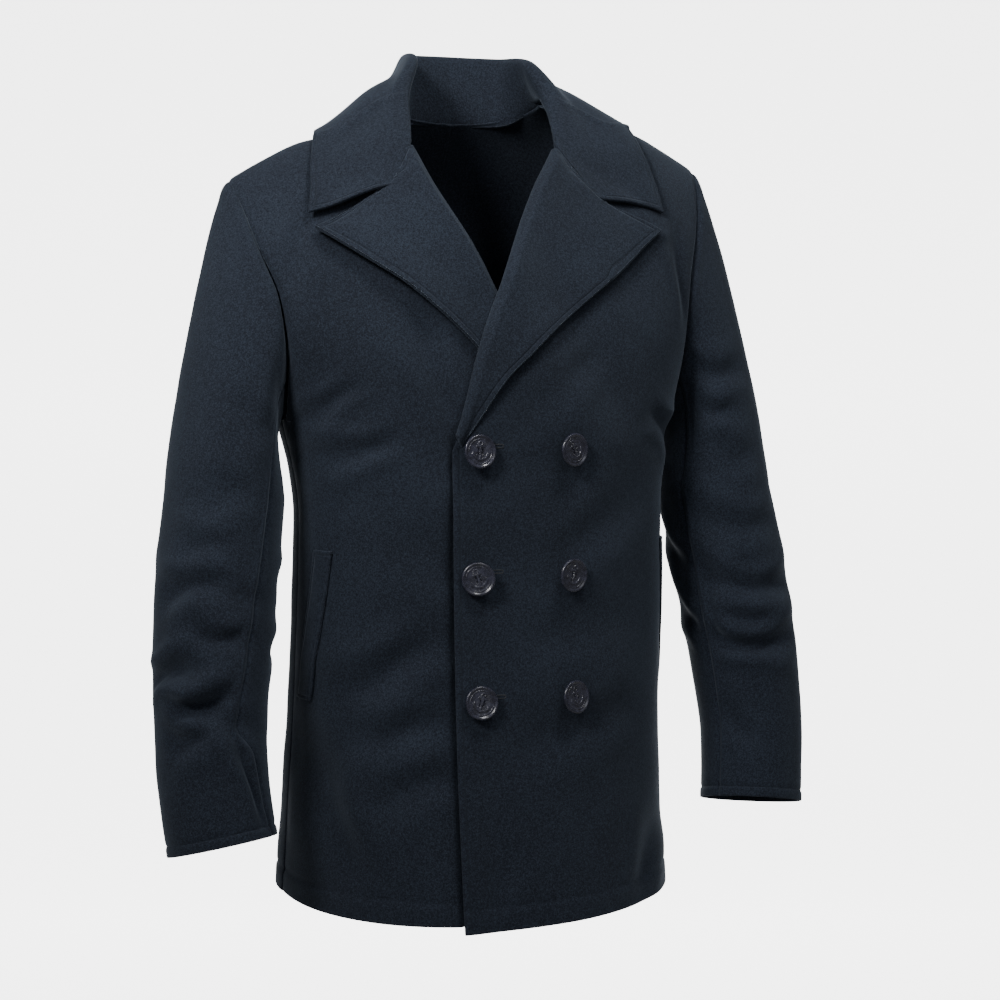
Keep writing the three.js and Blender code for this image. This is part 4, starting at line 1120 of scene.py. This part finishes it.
# Worked buttonhole: a tube of thread round a slit; its middle line is two straight runs with half rounds,
# and its thickness swells stitch by stitch
def buildButtonhole(name, level):
    straight = buttonhole["to"] - buttonhole["from"] - 2 * buttonhole["half"]
    total = 2 * straight + 2 * np.pi * buttonhole["half"]
    s = np.linspace(0, total, buttonhole["around"], endpoint=False)[:, None]
    half, curve = buttonhole["half"], np.pi * buttonhole["half"]
    turn = (np.clip(s - straight, 0, curve) + np.clip(s - 2 * straight - curve, 0, curve)) / half
    lengthwise = np.clip(s, 0, straight) - np.clip(s - straight - curve, 0, straight)
    x = buttonhole["from"] + half + lengthwise + half * np.sin(turn)
    z = level - half * np.cos(turn)
    angle = np.linspace(0, 2 * np.pi, buttonhole["section"], endpoint=False)[None, :]
    stitch = 1 + buttonhole["swell"] * np.sin(s * 2 * np.pi / buttonhole["stitch"])
    reach = buttonhole["thread"] * stitch * np.cos(angle)
    height = buttonhole["thread"] * stitch * np.sin(angle)
    slopeX, slopeZ = np.sin(turn), -np.cos(turn)
    relief = panelRelief(x, z, frontCreases["left"], 2.3 - 1)
    skin = onFront(1, x + slopeX * reach, z + slopeZ * reach, height * 0.8 + relief + 0.1)
    rings, count = skin.shape[:2]
    quads = ringQuads(rings + 1, count, 1) % (rings * count)
    made = makeMesh(name, skin.reshape(-1, 3), quads)
    made.data.materials.append(buttonholeThread)
    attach(made, "root")
    return made


for rowName, level in buttonhole["levels"].items():
    buildButtonhole(f"buttonhole_{rowName}", level)
print("stage: buttonholes made")

# Studio: a white cove behind, turned square to the view, over a pale floor; the light comes softly from
# above on the coat's own right
cove = {"floor": -2.2, "near": 3.4, "far": 6.4, "round": 1.6, "top": 3.4, "half": 2.9}
arc = np.linspace(0, np.pi / 2, 25)
coveDepth = cove["far"] - cove["round"] * (1 - np.sin(arc))
coveDepth = np.concatenate([[cove["near"]], coveDepth, [cove["far"]]])
coveLevel = cove["floor"] + cove["round"] * (1 - np.cos(arc))
coveLevel = np.concatenate([[cove["floor"]], coveLevel, [cove["top"]]])
coveSide = np.array([-cove["half"], cove["half"]])[None, :]
coveWide = coveSide + 0 * coveDepth[:, None]
coveSkin = points(coveWide * rightward.x - coveDepth[:, None] * rightward.y,
                  coveWide * rightward.y + coveDepth[:, None] * rightward.x, coveLevel[:, None])
k = np.arange(len(coveDepth) - 1)
coveFaces = np.stack([2 * k, 2 * k + 1, 2 * k + 3, 2 * k + 2], -1)
backdrop = makeMesh("backdrop", coveSkin.reshape(-1, 3) * 1000, coveFaces)
paper = Finish("whitePaper")
paper.set(Base_Color=(0.86, 0.86, 0.86, 1), Roughness=0.9, Emission_Color=(1, 1, 1, 1), Emission_Strength=4.0)
backdrop.data.materials.append(paper.material)
floorSkin = points([-6, 6, 6, -6], [-6, -6, 6, 6], [cove["floor"] - 0.004] * 4)
floor = makeMesh("floor", floorSkin * 1000, np.array([[0, 1, 2, 3]]))
plain = Finish("paleFloor")
plain.set(Base_Color=(0.72, 0.72, 0.72, 1), Roughness=0.8)
floor.data.materials.append(plain.material)

lamps = {  # place, aimed at, size in metres, watts, colour, spread in degrees
    "keyLight": ((-1.9, -1.25, 1.35), (-0.25, -0.05, 0.1), 0.7, 4.8, (1, 0.99, 0.985), 44),
    "fillLight": ((0.5, -2.7, 1.6), (0, 0, -0.2), 1.4, 4.4, (0.95, 0.97, 1), 110),
    "topLight": ((0.35, -0.95, 1.9), (-0.2, -0.05, 0.0), 0.5, 2.4, (1, 1, 1), 50),
}
for name, (place, aim, size, watts, colour, spreadTurn) in lamps.items():
    data = bpy.data.lights.new(name, "AREA")
    data.shape, data.size, data.energy, data.color = "SQUARE", size, watts, colour
    data.spread = np.radians(spreadTurn)
    lamp = bpy.data.objects.new(name, data)
    lamp.location = place
    lamp.rotation_euler = (Vector(aim) - Vector(place)).to_track_quat("-Z", "Y").to_euler()
    bpy.context.scene.collection.objects.link(lamp)

studio = bpy.data.worlds.new("studio")
bpy.context.scene.world = studio
studio.use_nodes = True
studio.node_tree.nodes["Background"].inputs[0].default_value = (1, 1, 1, 1)
studio.node_tree.nodes["Background"].inputs[1].default_value = 0.2
print("stage: studio set")
